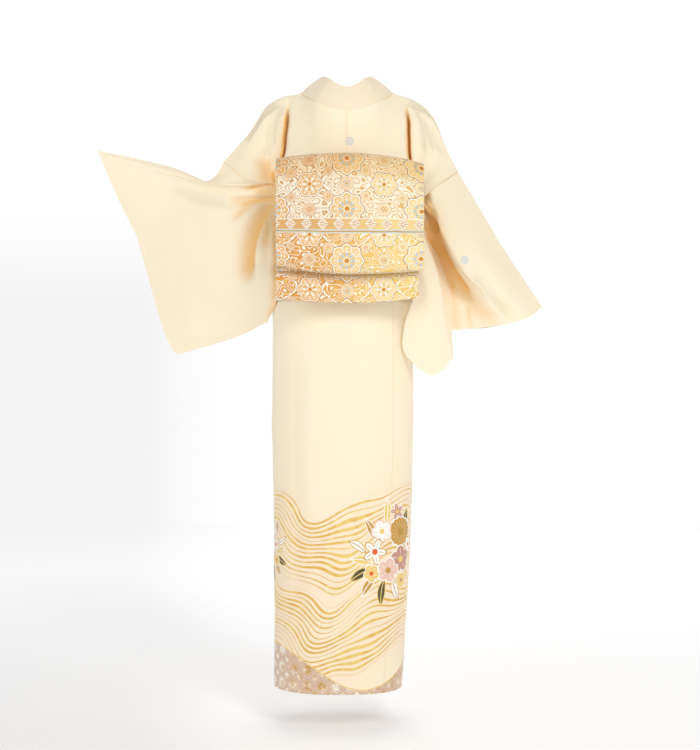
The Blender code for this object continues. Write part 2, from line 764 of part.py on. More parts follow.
def belt():
    """The band round the waist, the drum, the hand end through it and the tail below it."""
    band_inner = WRAP_PROUD + LAYER_GAP * 2 + FOLD_THICK
    band_ring("obi_wrap", BAND_LEVELS, band_inner, BROCADE, brocade("wrap"))
    drum(brocade("drum"))
    hand_back = DRUM[-1].back + LAYER_GAP
    tail_back = hand_back + BROCADE + LAYER_GAP
    flat_band("obi_hand", HAND, hand_back, brocade("hand"))
    flat_band("obi_tail", TAIL, tail_back, brocade("tail"))


def silk(part, colour=SILK_COLOUR):
    return finish(f"silk_{part}", colour, SILK_ROUGHNESS)


def brocade(part):
    return finish(f"brocade_{part}", GOLD, GOLD_ROUGHNESS, GOLD_METAL)


def clear_scene():
    for item in list(bpy.data.objects):
        bpy.data.objects.remove(item, do_unlink=True)


def build():
    clear_scene()
    body_panel(-1, silk("body_left"))
    body_panel(1, silk("body_right"))
    overlap_panel(-1, silk("overlap_left"))
    overlap_panel(1, silk("overlap_right"))
    collar(silk("collar", COLLAR_COLOUR))
    sleeve(-1, silk("sleeve_left"))
    sleeve(1, silk("sleeve_right"))
    band_ring("waist_fold", FOLD_LEVELS, WRAP_PROUD + LAYER_GAP, FOLD_THICK, silk("fold"))
    belt()


build()
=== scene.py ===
"""A formal silk kimono and its brocade belt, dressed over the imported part's solids."""

import math
from collections import namedtuple

import bpy
import numpy as np
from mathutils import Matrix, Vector, noise


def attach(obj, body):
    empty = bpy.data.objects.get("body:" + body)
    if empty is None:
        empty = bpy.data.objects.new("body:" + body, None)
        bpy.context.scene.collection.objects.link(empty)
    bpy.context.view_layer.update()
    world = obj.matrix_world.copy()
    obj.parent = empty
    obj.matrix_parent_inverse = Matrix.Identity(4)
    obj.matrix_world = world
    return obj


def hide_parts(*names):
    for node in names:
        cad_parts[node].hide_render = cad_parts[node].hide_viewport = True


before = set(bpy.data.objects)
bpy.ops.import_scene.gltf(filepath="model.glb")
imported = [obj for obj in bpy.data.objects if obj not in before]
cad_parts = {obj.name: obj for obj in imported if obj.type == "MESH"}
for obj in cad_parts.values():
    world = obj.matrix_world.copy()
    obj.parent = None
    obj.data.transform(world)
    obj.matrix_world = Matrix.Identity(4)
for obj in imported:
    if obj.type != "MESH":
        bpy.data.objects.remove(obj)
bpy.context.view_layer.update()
bpy.ops.object.select_all(action="DESELECT")


# Body panels. Each is one length of cream silk crepe that runs from the back hem over the
# shoulder to the front hem; the two are sewn together down the centre of the back. On the wearer
# the cloth drapes round a tube below the belt and falls in one deep crease beside each shoulder.

SEAM_GAP = 0.00016
SILK_WALL = 0.0011
WRAP_PROUD = 0.0060  # the outer front lies this far off the inner front
# Levels are in metres above the shoulders
CHEST_END = -0.200
OVERLAP_TOP = -0.400
HEM = -1.245
ROUNDNESS = 2.4  # between an ellipse (2) and a box

Ring = namedtuple("Ring", "level half_width centre back front")
RINGS = (
    Ring(-0.200, 0.1360, 0.0000, 0.106, 0.104),
    Ring(-0.290, 0.1300, 0.0000, 0.104, 0.098),
    Ring(-0.380, 0.1380, -0.0040, 0.106, 0.096),
    Ring(-0.450, 0.1470, -0.0060, 0.112, 0.100),
    Ring(-0.620, 0.1475, -0.0060, 0.118, 0.104),
    Ring(-0.720, 0.1485, -0.0070, 0.116, 0.104),
    Ring(-0.850, 0.1440, -0.0060, 0.112, 0.103),
    Ring(-1.000, 0.1415, -0.0095, 0.112, 0.102),
    Ring(-1.120, 0.1370, -0.0125, 0.112, 0.102),
    Ring(HEM, 0.1340, -0.0160, 0.112, 0.104),
)

# Angles round the wearer in degrees, from the centre of the back, positive to the wearer's right
CENTRE_BACK_TURN = 40
LEFT_SIDE_SEAM = -89
LEFT_OVERLAP_SEAM = -192
LEFT_OVERLAP_EDGE = -256
RIGHT_SIDE_SEAM = 169
RIGHT_OVERLAP_SEAM = 235
RIGHT_OVERLAP_EDGE = 262
NECKLINE_LOW = 197
SLIT_HALF = 3

Column = namedtuple("Column", "reach angle crease")
BACK = (
    Column(0.000, 0, 0.0),
    Column(0.035, 10, 0.0),
    Column(0.068, 22, 0.0),
    Column(0.100, 38, 0.0),
    Column(0.113, 54, 0.0),
    Column(0.120, 62, 0.1),
    Column(0.1255, 66, 1.0),
    Column(0.131, 70, -0.1),
    Column(0.147, 75, -0.1),
    Column(0.172, 80, 0.0),
    Column(0.200, 84, 0.0),
    Column(0.228, 87, 0.0),
    Column(0.263, 90, 0.0),
)
NECK_COLUMN = 3  # the neckline ends at this column
ARM_COLUMN = 8  # from here on the columns spread over the arm
FRONT_ANGLES = (NECKLINE_LOW, 178, 160, 145, 132, 122, 114, 107, 100, 93)
CREASE_DEPTH = 0.022
CREASE_START = 0.3  # share of the way down over which the crease deepens
CREASE_END = 0.09  # metres under the belt over which it dies away
# Shares of the way from the shoulder down to the belt
CHEST_ROWS = (0.0, 0.02, 0.07, 0.15, 0.26, 0.38, 0.52, 0.68, 0.84, 1.0)
SEAM_ROWS = len(CHEST_ROWS) - 2
SKIRT_LEVELS = (
    -0.200, -0.245, -0.290, -0.330, -0.370, -0.410, -0.450, -0.520, -0.600,
    -0.690, -0.790, -0.890, -0.990, -1.090, -1.180, HEM,
)  # fmt: skip
SLIT_END = -0.300
# Level where the chest starts to stand forwards, and how far down it has done so
BREAST = (0.022, 0.160)
# How far out from the middle it does, and the width over which that ends
BREAST_REACH = (0.10, 0.03)

# The fold over the shoulder and the arm: reach, depth and level
RIDGE = {
    -1: (
        (0.100, -0.005, 0.021),
        (0.138, 0.000, 0.016),
        (0.170, 0.000, -0.001),
        (0.189, -0.002, -0.021),
        (0.208, -0.006, -0.062),
        (0.263, -0.020, -0.128),
    ),
    1: (
        (0.100, -0.005, 0.021),
        (0.139, 0.000, 0.011),
        (0.166, 0.000, -0.005),
        (0.188, 0.000, -0.032),
        (0.202, 0.000, -0.062),
        (0.216, -0.003, -0.103),
        (0.238, -0.005, -0.146),
    ),
}
# The seam to the sleeve, from the end of that fold down to the arm pit
ARMHOLE = {
    (-1, "back"): ((0.235, -0.048, -0.153), (0.213, -0.060, -0.170), (0.152, -0.064, -0.181)),
    (-1, "front"): ((0.246, 0.022, -0.150), (0.212, 0.044, -0.170), (0.152, 0.050, -0.186)),
    (1, "back"): ((0.209, -0.045, -0.170), (0.184, -0.068, -0.190), (0.161, -0.078, -0.209)),
    (1, "front"): ((0.222, 0.030, -0.163), (0.198, 0.042, -0.184), (0.168, 0.040, -0.208)),
}
NECK_SEAM = (
    (0.000, -0.125, -0.037),
    (0.040, -0.119, -0.030),
    (0.074, -0.092, -0.008),
    (0.094, -0.050, 0.012),
    (0.100, -0.005, 0.021),
)


def evenly(points, count):
    """Count points, evenly spaced, on a smooth curve through the given ones."""
    p = [Vector(q) for q in points]
    ends = [2 * p[0] - p[1]] + p + [2 * p[-1] - p[-2]]
    fine, parts = [], 24
    for a, b, c, d in zip(ends, ends[1:], ends[2:], ends[3:]):
        for k in range(parts):
            t = k / parts
            bend = (2 * a - 5 * b + 4 * c - d) * t * t + (3 * b - a - 3 * c + d) * t**3
            fine.append((2 * b + (c - a) * t + bend) / 2)
    fine.append(p[-1])
    run = np.concatenate([[0.0], np.cumsum([(b - a).length for a, b in zip(fine, fine[1:])])])
    places = np.linspace(0, run[-1], count)
    return [Vector(np.interp(s, run, axis) for axis in zip(*fine)) for s in places]


def ease(t):
    t = min(max(t, 0.0), 1.0)
    return t * t * (3 - 2 * t)


def ring_sizes(level):
    levels = [-ring.level for ring in RINGS]
    return [float(np.interp(-level, levels, sizes)) for sizes in list(zip(*RINGS))[1:]]


def ring_point(level, degrees, proud=0.0):
    """A point on the dressed body at a level and an angle from the centre of the back."""
    half, centre, back, front = ring_sizes(level)
    s, c = math.sin(math.radians(degrees)), math.cos(math.radians(degrees))
    depth = (back if c > 0 else front) + proud
    x = centre + (half + proud) * math.copysign(abs(s) ** (2 / ROUNDNESS), s)
    y = -depth * math.copysign(abs(c) ** (2 / ROUNDNESS), c)
    return Vector((x, y, level))


def left_proud(degrees):
    """How far the left panel stands off, rising round the left side to lie over the right front."""
    start, width = 55, 35
    return WRAP_PROUD * ease((-degrees - start) / width)


def outward(point):
    """The direction away from the wearer's spine, or from the bones of the arms above the belt."""
    x, y, z = point
    spine = Vector((-0.006, 0.0, z))
    if z > CHEST_END:
        reach = min(max(abs(x) - 0.03, 0.0), 0.25)
        spine = Vector((math.copysign(reach * 0.8, x), 0.0, min(z, -0.085 - 0.25 * reach)))
    return (Vector(point) - spine).normalized()


def ridge_point(side, reach):
    line = NECK_SEAM if reach < RIDGE[side][0][0] else RIDGE[side]
    xs, ys, zs = zip(*line)
    x = min(reach, xs[-1])
    return Vector((side * x, float(np.interp(x, xs, ys)), float(np.interp(x, xs, zs))))


def column_reach(side, j):
    if j <= ARM_COLUMN:
        return BACK[j].reach
    share = (j - ARM_COLUMN) / (len(BACK) - 1 - ARM_COLUMN)
    return BACK[ARM_COLUMN].reach + (RIDGE[side][-1][0] - BACK[ARM_COLUMN].reach) * share


def breast(x, z):
    """How far the front stands forwards, for a place on the chest."""
    half, _, _, front = ring_sizes(CHEST_END)
    spread = max(1 - (abs(x) / half) ** ROUNDNESS, 0.0) ** (1 / ROUNDNESS)
    drop = min(max((BREAST[0] - z) / BREAST[1], 0.0), 1.0)
    return front * spread * math.sqrt(1 - (1 - drop) ** 2)


def armhole_seam(side, face):
    seam = evenly((RIDGE[side][-1], *ARMHOLE[(side, face)]), SEAM_ROWS)
    return [Vector((side * p.x, p.y, p.z)) for p in seam]


def side_edge(side, face):
    """A panel's open edge from the shoulder to the slit under the arm."""
    seam = armhole_seam(side, face)
    angle = 90 - SLIT_HALF if face == "back" else 90 + SLIT_HALF
    low = ring_point(CHEST_END, side * angle)
    return seam + [seam[-1].lerp(low, 0.5) - Vector((0, 0, 0.004)), low]


def top_to_low(side, reach, low, v, fall):
    top = ridge_point(side, reach)
    p = top.lerp(low, v)
    p.y = top.y + (low.y - top.y) * fall
    return p


def chest_rows(side, face):
    """A panel above the belt: rows from the shoulder down, columns from the middle outwards."""
    edge = side_edge(side, face)
    last = len(BACK) - 1
    back = face == "back"
    columns = [(j, min(c.angle, 90 - SLIT_HALF), c.crease) for j, c in enumerate(BACK)]
    if not back:
        columns = [(NECK_COLUMN + k, angle, 0.0) for k, angle in enumerate(FRONT_ANGLES)]
    proud = WRAP_PROUD if side < 0 and not back else 0.0
    rows = []
    for i, v in enumerate(CHEST_ROWS):
        row = []
        arch = math.sqrt(1 - (1 - v) ** 2)
        for j, angle, crease in columns:
            low = ring_point(CHEST_END, side * angle, proud)
            fall = arch
            if back:
                stoop = 1 - ridge_point(side, column_reach(side, j)).y / low.y
                fall = v + (arch - v) * max(stoop, 0.0)
            p = top_to_low(side, column_reach(side, j), low, v, fall)
            if j >= ARM_COLUMN:
                end = top_to_low(side, column_reach(side, last), edge[-1], v, arch)
                p += (edge[i] - end) * ((j - ARM_COLUMN + 1) / (last - ARM_COLUMN + 1)) ** 2
            if v > 0 and not back:
                near = 1 - ease((abs(p.x) - BREAST_REACH[0]) / BREAST_REACH[1])
                p.y += near * (breast(p.x, p.z) + proud * min(v * 3, 1.0) - p.y)
            p.y += CREASE_DEPTH * crease * ease(v / CREASE_START)
            row.append(p)
        row[-1] = edge[i].copy()
        rows.append(row)
    if side < 0 and not back:
        rows[-1] = [ring_point(CHEST_END, -a, left_proud(-a)) for a in FRONT_ANGLES]
    return rows


def skirt_rows(side, face):
    """A panel from the chest to the hem; under the belt its columns turn to their skirt places."""
    seam = LEFT_SIDE_SEAM if side < 0 else RIGHT_SIDE_SEAM
    if face == "back":
        tops, start = [min(c.angle, 90 - SLIT_HALF) for c in BACK], CENTRE_BACK_TURN
    else:
        tops = [max(a, 90 + SLIT_HALF) for a in FRONT_ANGLES]
        start = LEFT_OVERLAP_SEAM if side < 0 else RIGHT_OVERLAP_SEAM
    rows = []
    for level in SKIRT_LEVELS:
        turn = ease((CHEST_END - level) / (CHEST_END - OVERLAP_TOP))
        row = []
        for j, top in enumerate(tops):
            last = j == len(tops) - 1
            high = side * 90 if last and level < SLIT_END else side * top
            low = start + (seam - start) * j / (len(tops) - 1)
            angle = high + (low - high) * turn
            p = ring_point(level, angle, left_proud(angle) if side < 0 else 0.0)
            if face == "back":
                fading = 1 - ease((CHEST_END - level) / CREASE_END)
                p.y += CREASE_DEPTH * BACK[j].crease * fading
            row.append(p)
        rows.append(row)
    return rows


def pull_in(rows):
    """Draws the inner edge of a panel back from its seam."""
    for row in rows:
        step = row[1] - row[0]
        if step.length > 4 * SEAM_GAP:
            row[0] = row[0] + step.normalized() * (SEAM_GAP / 2)


def across_seam(points, side):
    """The directions across a seam, along the cloth and away from the panel."""
    steps = []
    for i, p in enumerate(points):
        along = points[min(i + 1, len(points) - 1)] - points[max(i - 1, 0)]
        across = along.cross(outward(p)).normalized()
        steps.append(across if across.dot(Vector((side, 0, -0.5))) > 0 else -across)
    return steps


def as_grid(rows):
    return np.array([[list(p) for p in row] for row in rows])


def finer_rows(grid, times):
    """A grid of points with more rows, on curves that pass through the given rows."""
    pad = np.concatenate([grid[:1], grid, grid[-1:]])
    before, start, stop, after = pad[:-3], pad[1:-2], pad[2:-1], pad[3:]
    reach = 0.8 * np.linalg.norm(stop - start, axis=-1, keepdims=True)

    def held(pull):
        length = np.linalg.norm(pull, axis=-1, keepdims=True)
        return pull * np.minimum(1.0, reach / np.maximum(length, 1e-9))

    leave, arrive = held((stop - before) / 2), held((after - start) / 2)
    t = (np.arange(times) / times)[None, :, None, None]
    leave, arrive, start, stop = (a[:, None] for a in (leave, arrive, start, stop))
    curve = (
        start * (2 * t**3 - 3 * t**2 + 1)
        + leave * (t**3 - 2 * t**2 + t)
        + stop * (3 * t**2 - 2 * t**3)
        + arrive * (t**3 - t**2)
    )
    return np.concatenate([curve.reshape(-1, *grid.shape[1:]), grid[-1:]])


def finer(rows, down, across):
    """The same cloth with down and across times as many faces."""
    grid = finer_rows(as_grid(rows), down)
    return finer_rows(grid.transpose(1, 0, 2), across).transpose(1, 0, 2)


def away_from_wearer(grid):
    return np.array([[list(outward(Vector(p))) for p in row] for row in grid])


def grid_normals(grid, flip):
    down = np.gradient(grid, axis=0)
    across = np.gradient(grid, axis=1)
    normal = np.cross(down, across)
    length = np.linalg.norm(normal, axis=-1, keepdims=True)
    normal = normal / np.maximum(length, 1e-12)
    return -normal if flip else normal


# A fold's tone is the shade painted along it: golden above 0, grey below
Fold = namedtuple("Fold", "name lift width lee line tone", defaults=(0.0,))
FOLD_POINTS = 60
FOLD_END = 0.22  # share of its line over which a fold dies away at each end


def lay_folds(grid, normals, folds):
    """Moves cloth along its normals by each fold: a rise or fall along a line drawn in X and Z, all in
    millimetres. Seen from behind, its width is on the left as one follows the line and its lee on the
    right. Gives back the shade that the folds paint on the cloth: golden above 0, grey below 0."""
    fold_shades = np.zeros(grid.shape[:2])
    for fold in folds:
        line = evenly([(x / 1000, z / 1000, 0) for x, z in fold.line], FOLD_POINTS)
        line = np.array([(p.x, p.y) for p in line])
        step = np.gradient(line, axis=0)
        step /= np.linalg.norm(step, axis=1, keepdims=True)
        flat = grid[..., [0, 2]].reshape(-1, 2)
        gap = flat[:, None, :] - line[None, :, :]
        far = np.linalg.norm(gap, axis=2)
        near = far.argmin(axis=1)
        pick = np.arange(len(flat))
        offset = gap[pick, near]
        turn = step[near, 0] * offset[:, 1] - step[near, 1] * offset[:, 0]
        wide = np.where(turn > 0, fold.width, fold.lee) / 1000
        share = near / (len(line) - 1)
        taper = np.clip(np.minimum(share, 1 - share) / FOLD_END, 0, 1)
        taper = taper * taper * (3 - 2 * taper)
        share = (np.exp(-((far[pick, near] / wide) ** 2)) * taper).reshape(grid.shape[:2])
        grid += normals * (fold.lift / 1000 * share)[..., None]
        painted_shade = fold.tone * share
        fold_shades = np.where(np.abs(painted_shade) > np.abs(fold_shades), painted_shade, fold_shades)
    return fold_shades


Tug = namedtuple("Tug", "name x z reach move")


def tug(grid, tugs):
    """Shifts the cloth near a place in X and Z, in millimetres, dying away with distance."""
    for item in tugs:
        away = np.hypot(grid[..., 0] - item.x / 1000, grid[..., 2] - item.z / 1000)
        near = np.exp(-((away * 1000 / item.reach) ** 2))
        grid += near[..., None] * np.array(item.move) / 1000


def uneven(grid, normals, height, size, seed):
    """Small unevenness of a height and a size, as no worn cloth lies quite smooth."""
    for i in range(grid.shape[0]):
        for j in range(grid.shape[1]):
            rise = noise.noise(Vector(grid[i, j]) / size + Vector((seed, 0, 0)))
            grid[i, j] += normals[i, j] * height * rise


WELD = 20000  # points that agree when rounded to 1/20000 m are one
SOFT_ANGLE = 55


def cloth(name, parts, thickness, uv=None, fold_shades=None):
    """One sheet of cloth: grids of points with their facing, welded where they meet, then given
    the thickness of the cloth on the inner side. The shade painted by the folds is kept at its points for
    the dye."""
    points = np.concatenate([grid.reshape(-1, 3) for grid, _ in parts])
    keys = np.round(points * WELD).astype(np.int64)
    _, first, index = np.unique(keys, axis=0, return_index=True, return_inverse=True)
    index = index.ravel()
    faces, start = [], 0
    for grid, flip in parts:
        rows, wide = grid.shape[:2]
        for i in range(rows - 1):
            for j in range(wide - 1):
                a = start + i * wide + j
                corner = [index[k] for k in (a, a + wide, a + wide + 1, a + 1)]
                ring = list(dict.fromkeys(corner))
                if len(ring) > 2:
                    faces.append(tuple(reversed(ring)) if flip else tuple(ring))
        start += rows * wide
    mesh = bpy.data.meshes.new(name)
    mesh.from_pydata(points[first].tolist(), [], faces)
    # The shade painted by the folds goes to the dye through this attribute
    if fold_shades is not None:
        kept = mesh.attributes.new("fold tone", "FLOAT", "POINT")
        fold_shades = np.concatenate([tone.ravel() for tone in fold_shades])[first]
        kept.data.foreach_set("value", fold_shades.astype(np.float32))
    if uv is not None:
        layer = mesh.uv_layers.new(name="cloth")
        places = uv(points[first])
        loops = np.empty(len(mesh.loops), np.int32)
        mesh.loops.foreach_get("vertex_index", loops)
        layer.data.foreach_set("uv", places[loops].astype(np.float32).ravel())
    piece = bpy.data.objects.new(name, mesh)
    bpy.context.scene.collection.objects.link(piece)
    bpy.context.view_layer.objects.active = piece
    piece.select_set(True)
    wall = piece.modifiers.new("thickness", "SOLIDIFY")
    wall.thickness = thickness
    wall.offset = -1
    bpy.ops.object.modifier_apply(modifier=wall.name)
    bpy.ops.object.shade_smooth_by_angle(angle=math.radians(SOFT_ANGLE))
    piece.select_set(False)
    return piece


def lay_on(piece, node, slot, material, **lying):
    """Dyes a finished sheet, hangs it from the root and hides the solid it stands for."""
    piece.data.materials.append(material)
    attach(piece, "root")
    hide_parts(node)


class Brush:
    """Writes the sums of a material as short calls."""

    def __init__(self, tree):
        self.tree = tree

    def put(self, socket, value):
        if isinstance(value, bpy.types.NodeSocket):
            self.tree.links.new(value, socket)
        else:
            socket.default_value = value

    def math(self, operation, *values):
        node = self.tree.nodes.new("ShaderNodeMath")
        node.operation = operation
        for socket, value in zip(node.inputs, values):
            self.put(socket, value)
        return node.outputs[0]

    def sum(self, *values):
        total = values[0]
        for value in values[1:]:
            total = self.math("ADD", total, value)
        return total

    def times(self, *values):
        product = values[0]
        for value in values[1:]:
            product = self.math("MULTIPLY", product, value)
        return product

    def minus(self, value, other):
        return self.math("SUBTRACT", value, other)

    def rest(self, share):
        """What a share leaves of the whole."""
        return self.math("SUBTRACT", 1.0, share)

    def scaled(self, value, factor, start):
        return self.math("MULTIPLY_ADD", value, factor, start)

    def size(self, value):
        return self.math("ABSOLUTE", value)

    def fraction(self, value):
        return self.math("FRACT", value)

    def over(self, value, edge):
        return self.math("GREATER_THAN", value, edge)

    def under(self, value, edge):
        return self.math("LESS_THAN", value, edge)

    def most(self, value, other):
        return self.math("MAXIMUM", value, other)

    def wave(self, value, pitch, shift=0.0):
        """A sine of the value, with the pitch in metres."""
        return self.math("SINE", self.scaled(value, 2 * math.pi / pitch, shift))

    def step(self, value, edge, soft):
        """Zero below the edge, one above it, over a soft width."""
        node = self.tree.nodes.new("ShaderNodeMapRange")
        node.interpolation_type = "SMOOTHSTEP"
        self.put(node.inputs["Value"], value)
        node.inputs["From Min"].default_value = edge - soft
        node.inputs["From Max"].default_value = edge + soft
        return node.outputs[0]

    def below(self, value, edge, soft):
        return self.rest(self.step(value, edge, soft))

    def within(self, value, low, high, soft):
        return self.times(self.step(value, low, soft), self.below(value, high, soft))

    def cells(self, u, v, pitch, shift):
        """Places in the cells of a grid, from the middle of each, as shares of the pitch."""
        across = self.minus(self.fraction(self.scaled(u, 1 / pitch[0], shift[0])), 0.5)
        return across, self.minus(self.fraction(self.scaled(v, 1 / pitch[1], shift[1])), 0.5)

    def polar(self, x, y):
        """How far a place is from the middle, and at what angle."""
        away = self.math("SQRT", self.sum(self.times(x, x), self.times(y, y)))
        return away, self.math("ARCTAN2", y, x)

    def mix(self, share, low, high, blend="MIX"):
        node = self.tree.nodes.new("ShaderNodeMix")
        node.data_type = "RGBA"
        node.blend_type = blend
        for index, value in ((0, share), (6, low), (7, high)):
            if isinstance(value, tuple):
                value = (*value, 1.0)
            self.put(node.inputs[index], value)
        return node.outputs[2]

    def axes(self, vector):
        node = self.tree.nodes.new("ShaderNodeSeparateXYZ")
        self.tree.links.new(vector, node.inputs[0])
        return node.outputs

    def vector(self, *values):
        node = self.tree.nodes.new("ShaderNodeCombineXYZ")
        for socket, value in zip(node.inputs, values):
            self.put(socket, value)
        return node.outputs[0]

    def speckle(self, vector, scale, detail):
        node = self.tree.nodes.new("ShaderNodeTexNoise")
        self.tree.links.new(vector, node.inputs["Vector"])
        node.inputs["Scale"].default_value = scale
        node.inputs["Detail"].default_value = detail
        return node.outputs["Fac"]


class Dye(Brush):
    """A new material with its shader at hand."""

    def __init__(self, name, roughness):
        self.material = bpy.data.materials.new(name)
        self.material.use_nodes = True
        super().__init__(self.material.node_tree)
        self.shader = self.tree.nodes["Principled BSDF"]
        self.shader.inputs["Roughness"].default_value = roughness

    def place(self, stretch=(1, 1, 1)):
        where = self.tree.nodes.new("ShaderNodeTexCoord").outputs["Object"]
        turn = self.tree.nodes.new("ShaderNodeMapping")
        self.tree.links.new(where, turn.inputs["Vector"])
        turn.inputs["Scale"].default_value = stretch
        return turn.outputs[0]

    def cloth_place(self):
        node = self.tree.nodes.new("ShaderNodeUVMap")
        node.uv_map = "cloth"
        return node.outputs[0]

    def relief(self, height, depth):
        node = self.tree.nodes.new("ShaderNodeBump")
        node.inputs["Distance"].default_value = depth
        node.inputs["Strength"].default_value = 1.0
        self.tree.links.new(height, node.inputs["Height"])
        self.put(self.shader.inputs["Normal"], node.outputs[0])


SILK = (0.975, 0.868, 0.672)
SILK_WARM = (0.965, 0.835, 0.615)
CREST = (0.70, 0.72, 0.70)
# Middle of the roundel on the centre of the back, on the seam, and its radius
BACK_CREST = (0.0052, -0.1168, -0.0998)
CREST_RADIUS = 0.0086


def crepe(dye, light=SILK, warm=SILK_WARM):
    """The fine pebbled grain of silk crepe, a little longer along the thread."""
    grain = dye.speckle(dye.place((1, 1, 0.55)), 1500, 2.0)
    soft = dye.speckle(dye.place(), 90, 2.0)
    dye.relief(dye.sum(grain, dye.times(soft, 0.6)), 0.00022)
    dye.shader.inputs["Sheen Weight"].default_value = 0.22
    dye.shader.inputs["Sheen Roughness"].default_value = 0.45
    dye.shader.inputs["Sheen Tint"].default_value = (1.0, 0.93, 0.80, 1.0)
    dye.shader.inputs["Specular IOR Level"].default_value = 0.35
    return dye.mix(dye.speckle(dye.place((1, 1, 0.4)), 11, 3.0), light, warm)


def paint_fold_shade(dye, colour):
    """Shade painted into the folds from the tone kept at the cloth's points: a golden brown in the deep
    folds, standing in for light that has gone through the silk and back, and a little grey in the shallow
    ones."""
    tone = dye.tree.nodes.new("ShaderNodeAttribute")
    tone.attribute_name = "fold tone"
    tone = tone.outputs["Fac"]
    paint = dye.mix(dye.over(tone, 0.0), (0.70, 0.62, 0.46), (0.89, 0.52, 0.145))
    paint = dye.mix(dye.step(tone, 1.15, 0.10), paint, (0.90, 0.53, 0.155))
    return dye.mix(dye.math("MINIMUM", dye.size(tone), 1.0), colour, paint)


def roundel(dye, colour, centre):
    """A plain pale ring round a dot, left undyed as a formal mark."""
    node = dye.tree.nodes.new("ShaderNodeVectorMath")
    node.operation = "DISTANCE"
    dye.tree.links.new(dye.place(), node.inputs[0])
    node.inputs[1].default_value = centre
    away = node.outputs["Value"]
    ring = dye.within(away, CREST_RADIUS * 0.50, CREST_RADIUS, 0.0005)
    dot = dye.below(away, CREST_RADIUS * 0.36, 0.0005)
    return dye.mix(dye.sum(ring, dot), colour, CREST)


def plain_silk(name, light=SILK, warm=SILK_WARM, crest=None):
    dye = Dye(name, 0.56)
    # Shade painted into the folds
    colour = paint_fold_shade(dye, crepe(dye, light, warm))
    if crest:
        colour = roundel(dye, colour, crest)
    dye.put(dye.shader.inputs["Base Color"], colour)
    return dye.material


def painted_group(name, sizes):
    """The start of a figure that is painted many times: its brush, the values it is given, the
    socket it fills, and the place on the cloth from its centre, as shares of its size."""
    tree = bpy.data.node_groups.new(name, "ShaderNodeTree")
    for title in ("Place", "Centre", *sizes):
        kind = "NodeSocketFloat" if title in sizes else "NodeSocketVector"
        tree.interface.new_socket(title, in_out="INPUT", socket_type=kind)
    tree.interface.new_socket("Part", in_out="OUTPUT", socket_type="NodeSocketFloat")
    given = tree.nodes.new("NodeGroupInput").outputs
    made = tree.nodes.new("NodeGroupOutput").inputs["Part"]
    brush = Brush(tree)
    x, y = brush.axes(given["Place"])[:2]
    cx, cy = brush.axes(given["Centre"])[:2]
    x = brush.math("DIVIDE", brush.minus(x, cx), given["Size"])
    y = brush.math("DIVIDE", brush.minus(y, cy), given["Size"])
    return brush, given, made, x, y


def flower_group():
    """One painted flower: 0 is outside, 1 petal, 2 rim or vein, and 3 heart."""
    sizes = ("Size", "Turn", "Petals", "Depth", "Point")
    brush, given, made, x, y = painted_group("painted flower", sizes)
    away, angle = brush.polar(x, y)
    angle = brush.sum(angle, given["Turn"])
    half = brush.times(angle, given["Petals"], 0.5)
    lobe = brush.math("POWER", brush.size(brush.math("COSINE", half)), given["Point"])
    reach = brush.rest(brush.times(given["Depth"], brush.rest(lobe)))
    inside = brush.minus(reach, away)
    petal = brush.over(inside, 0.0)
    rim = brush.under(inside, 0.10)
    vein = brush.under(brush.size(brush.math("SINE", half)), 0.09)
    vein = brush.times(vein, brush.over(away, 0.30), brush.under(away, 0.72))
    heart = brush.times(brush.under(away, 0.22), 3.0)
    part = brush.times(petal, brush.sum(1.0, brush.most(rim, vein)))
    brush.put(made, brush.most(part, heart))
    return brush.tree


FLOWER = flower_group()


def leaf_group():
    """One painted leaf, pointing along its turn: 0 is outside, 1 blade, and 2 rim or rib."""
    brush, given, made, x, y = painted_group("painted leaf", ("Size", "Turn", "Width"))
    c, s = brush.math("COSINE", given["Turn"]), brush.math("SINE", given["Turn"])
    along = brush.sum(brush.times(x, c), brush.times(y, s))
    across = brush.minus(brush.times(y, c), brush.times(x, s))
    across = brush.minus(across, brush.times(along, along, 0.25))
    share = brush.sum(along, 0.5)
    swell = brush.times(share, brush.rest(share))
    reach = brush.times(swell, 4.0, given["Width"])
    side = brush.size(across)
    inside = brush.minus(reach, side)
    blade = brush.times(brush.over(inside, 0.0), brush.under(brush.size(along), 0.5))
    rim = brush.most(brush.under(inside, 0.03), brush.under(side, 0.018))
    brush.put(made, brush.times(blade, brush.sum(1.0, rim)))
    return brush.tree


LEAF = leaf_group()
GOLD = (0.60, 0.33, 0.055)
PALE_GOLD = (0.86, 0.62, 0.19)
PAINTS = {
    "white": (0.97, 0.94, 0.88),
    "rose": (0.58, 0.29, 0.23),
    "blush": (0.86, 0.58, 0.47),
    "gold": GOLD,
    "pale gold": PALE_GOLD,
    "old gold": (0.50, 0.29, 0.05),
    "olive": (0.085, 0.075, 0.030),
    "ember": (0.78, 0.13, 0.03),
    "mist": (0.66, 0.48, 0.40),
}
Flower = namedtuple("Flower", "x y size turn petals depth point paints")
Leaf = namedtuple("Leaf", "x y size turn width paints")
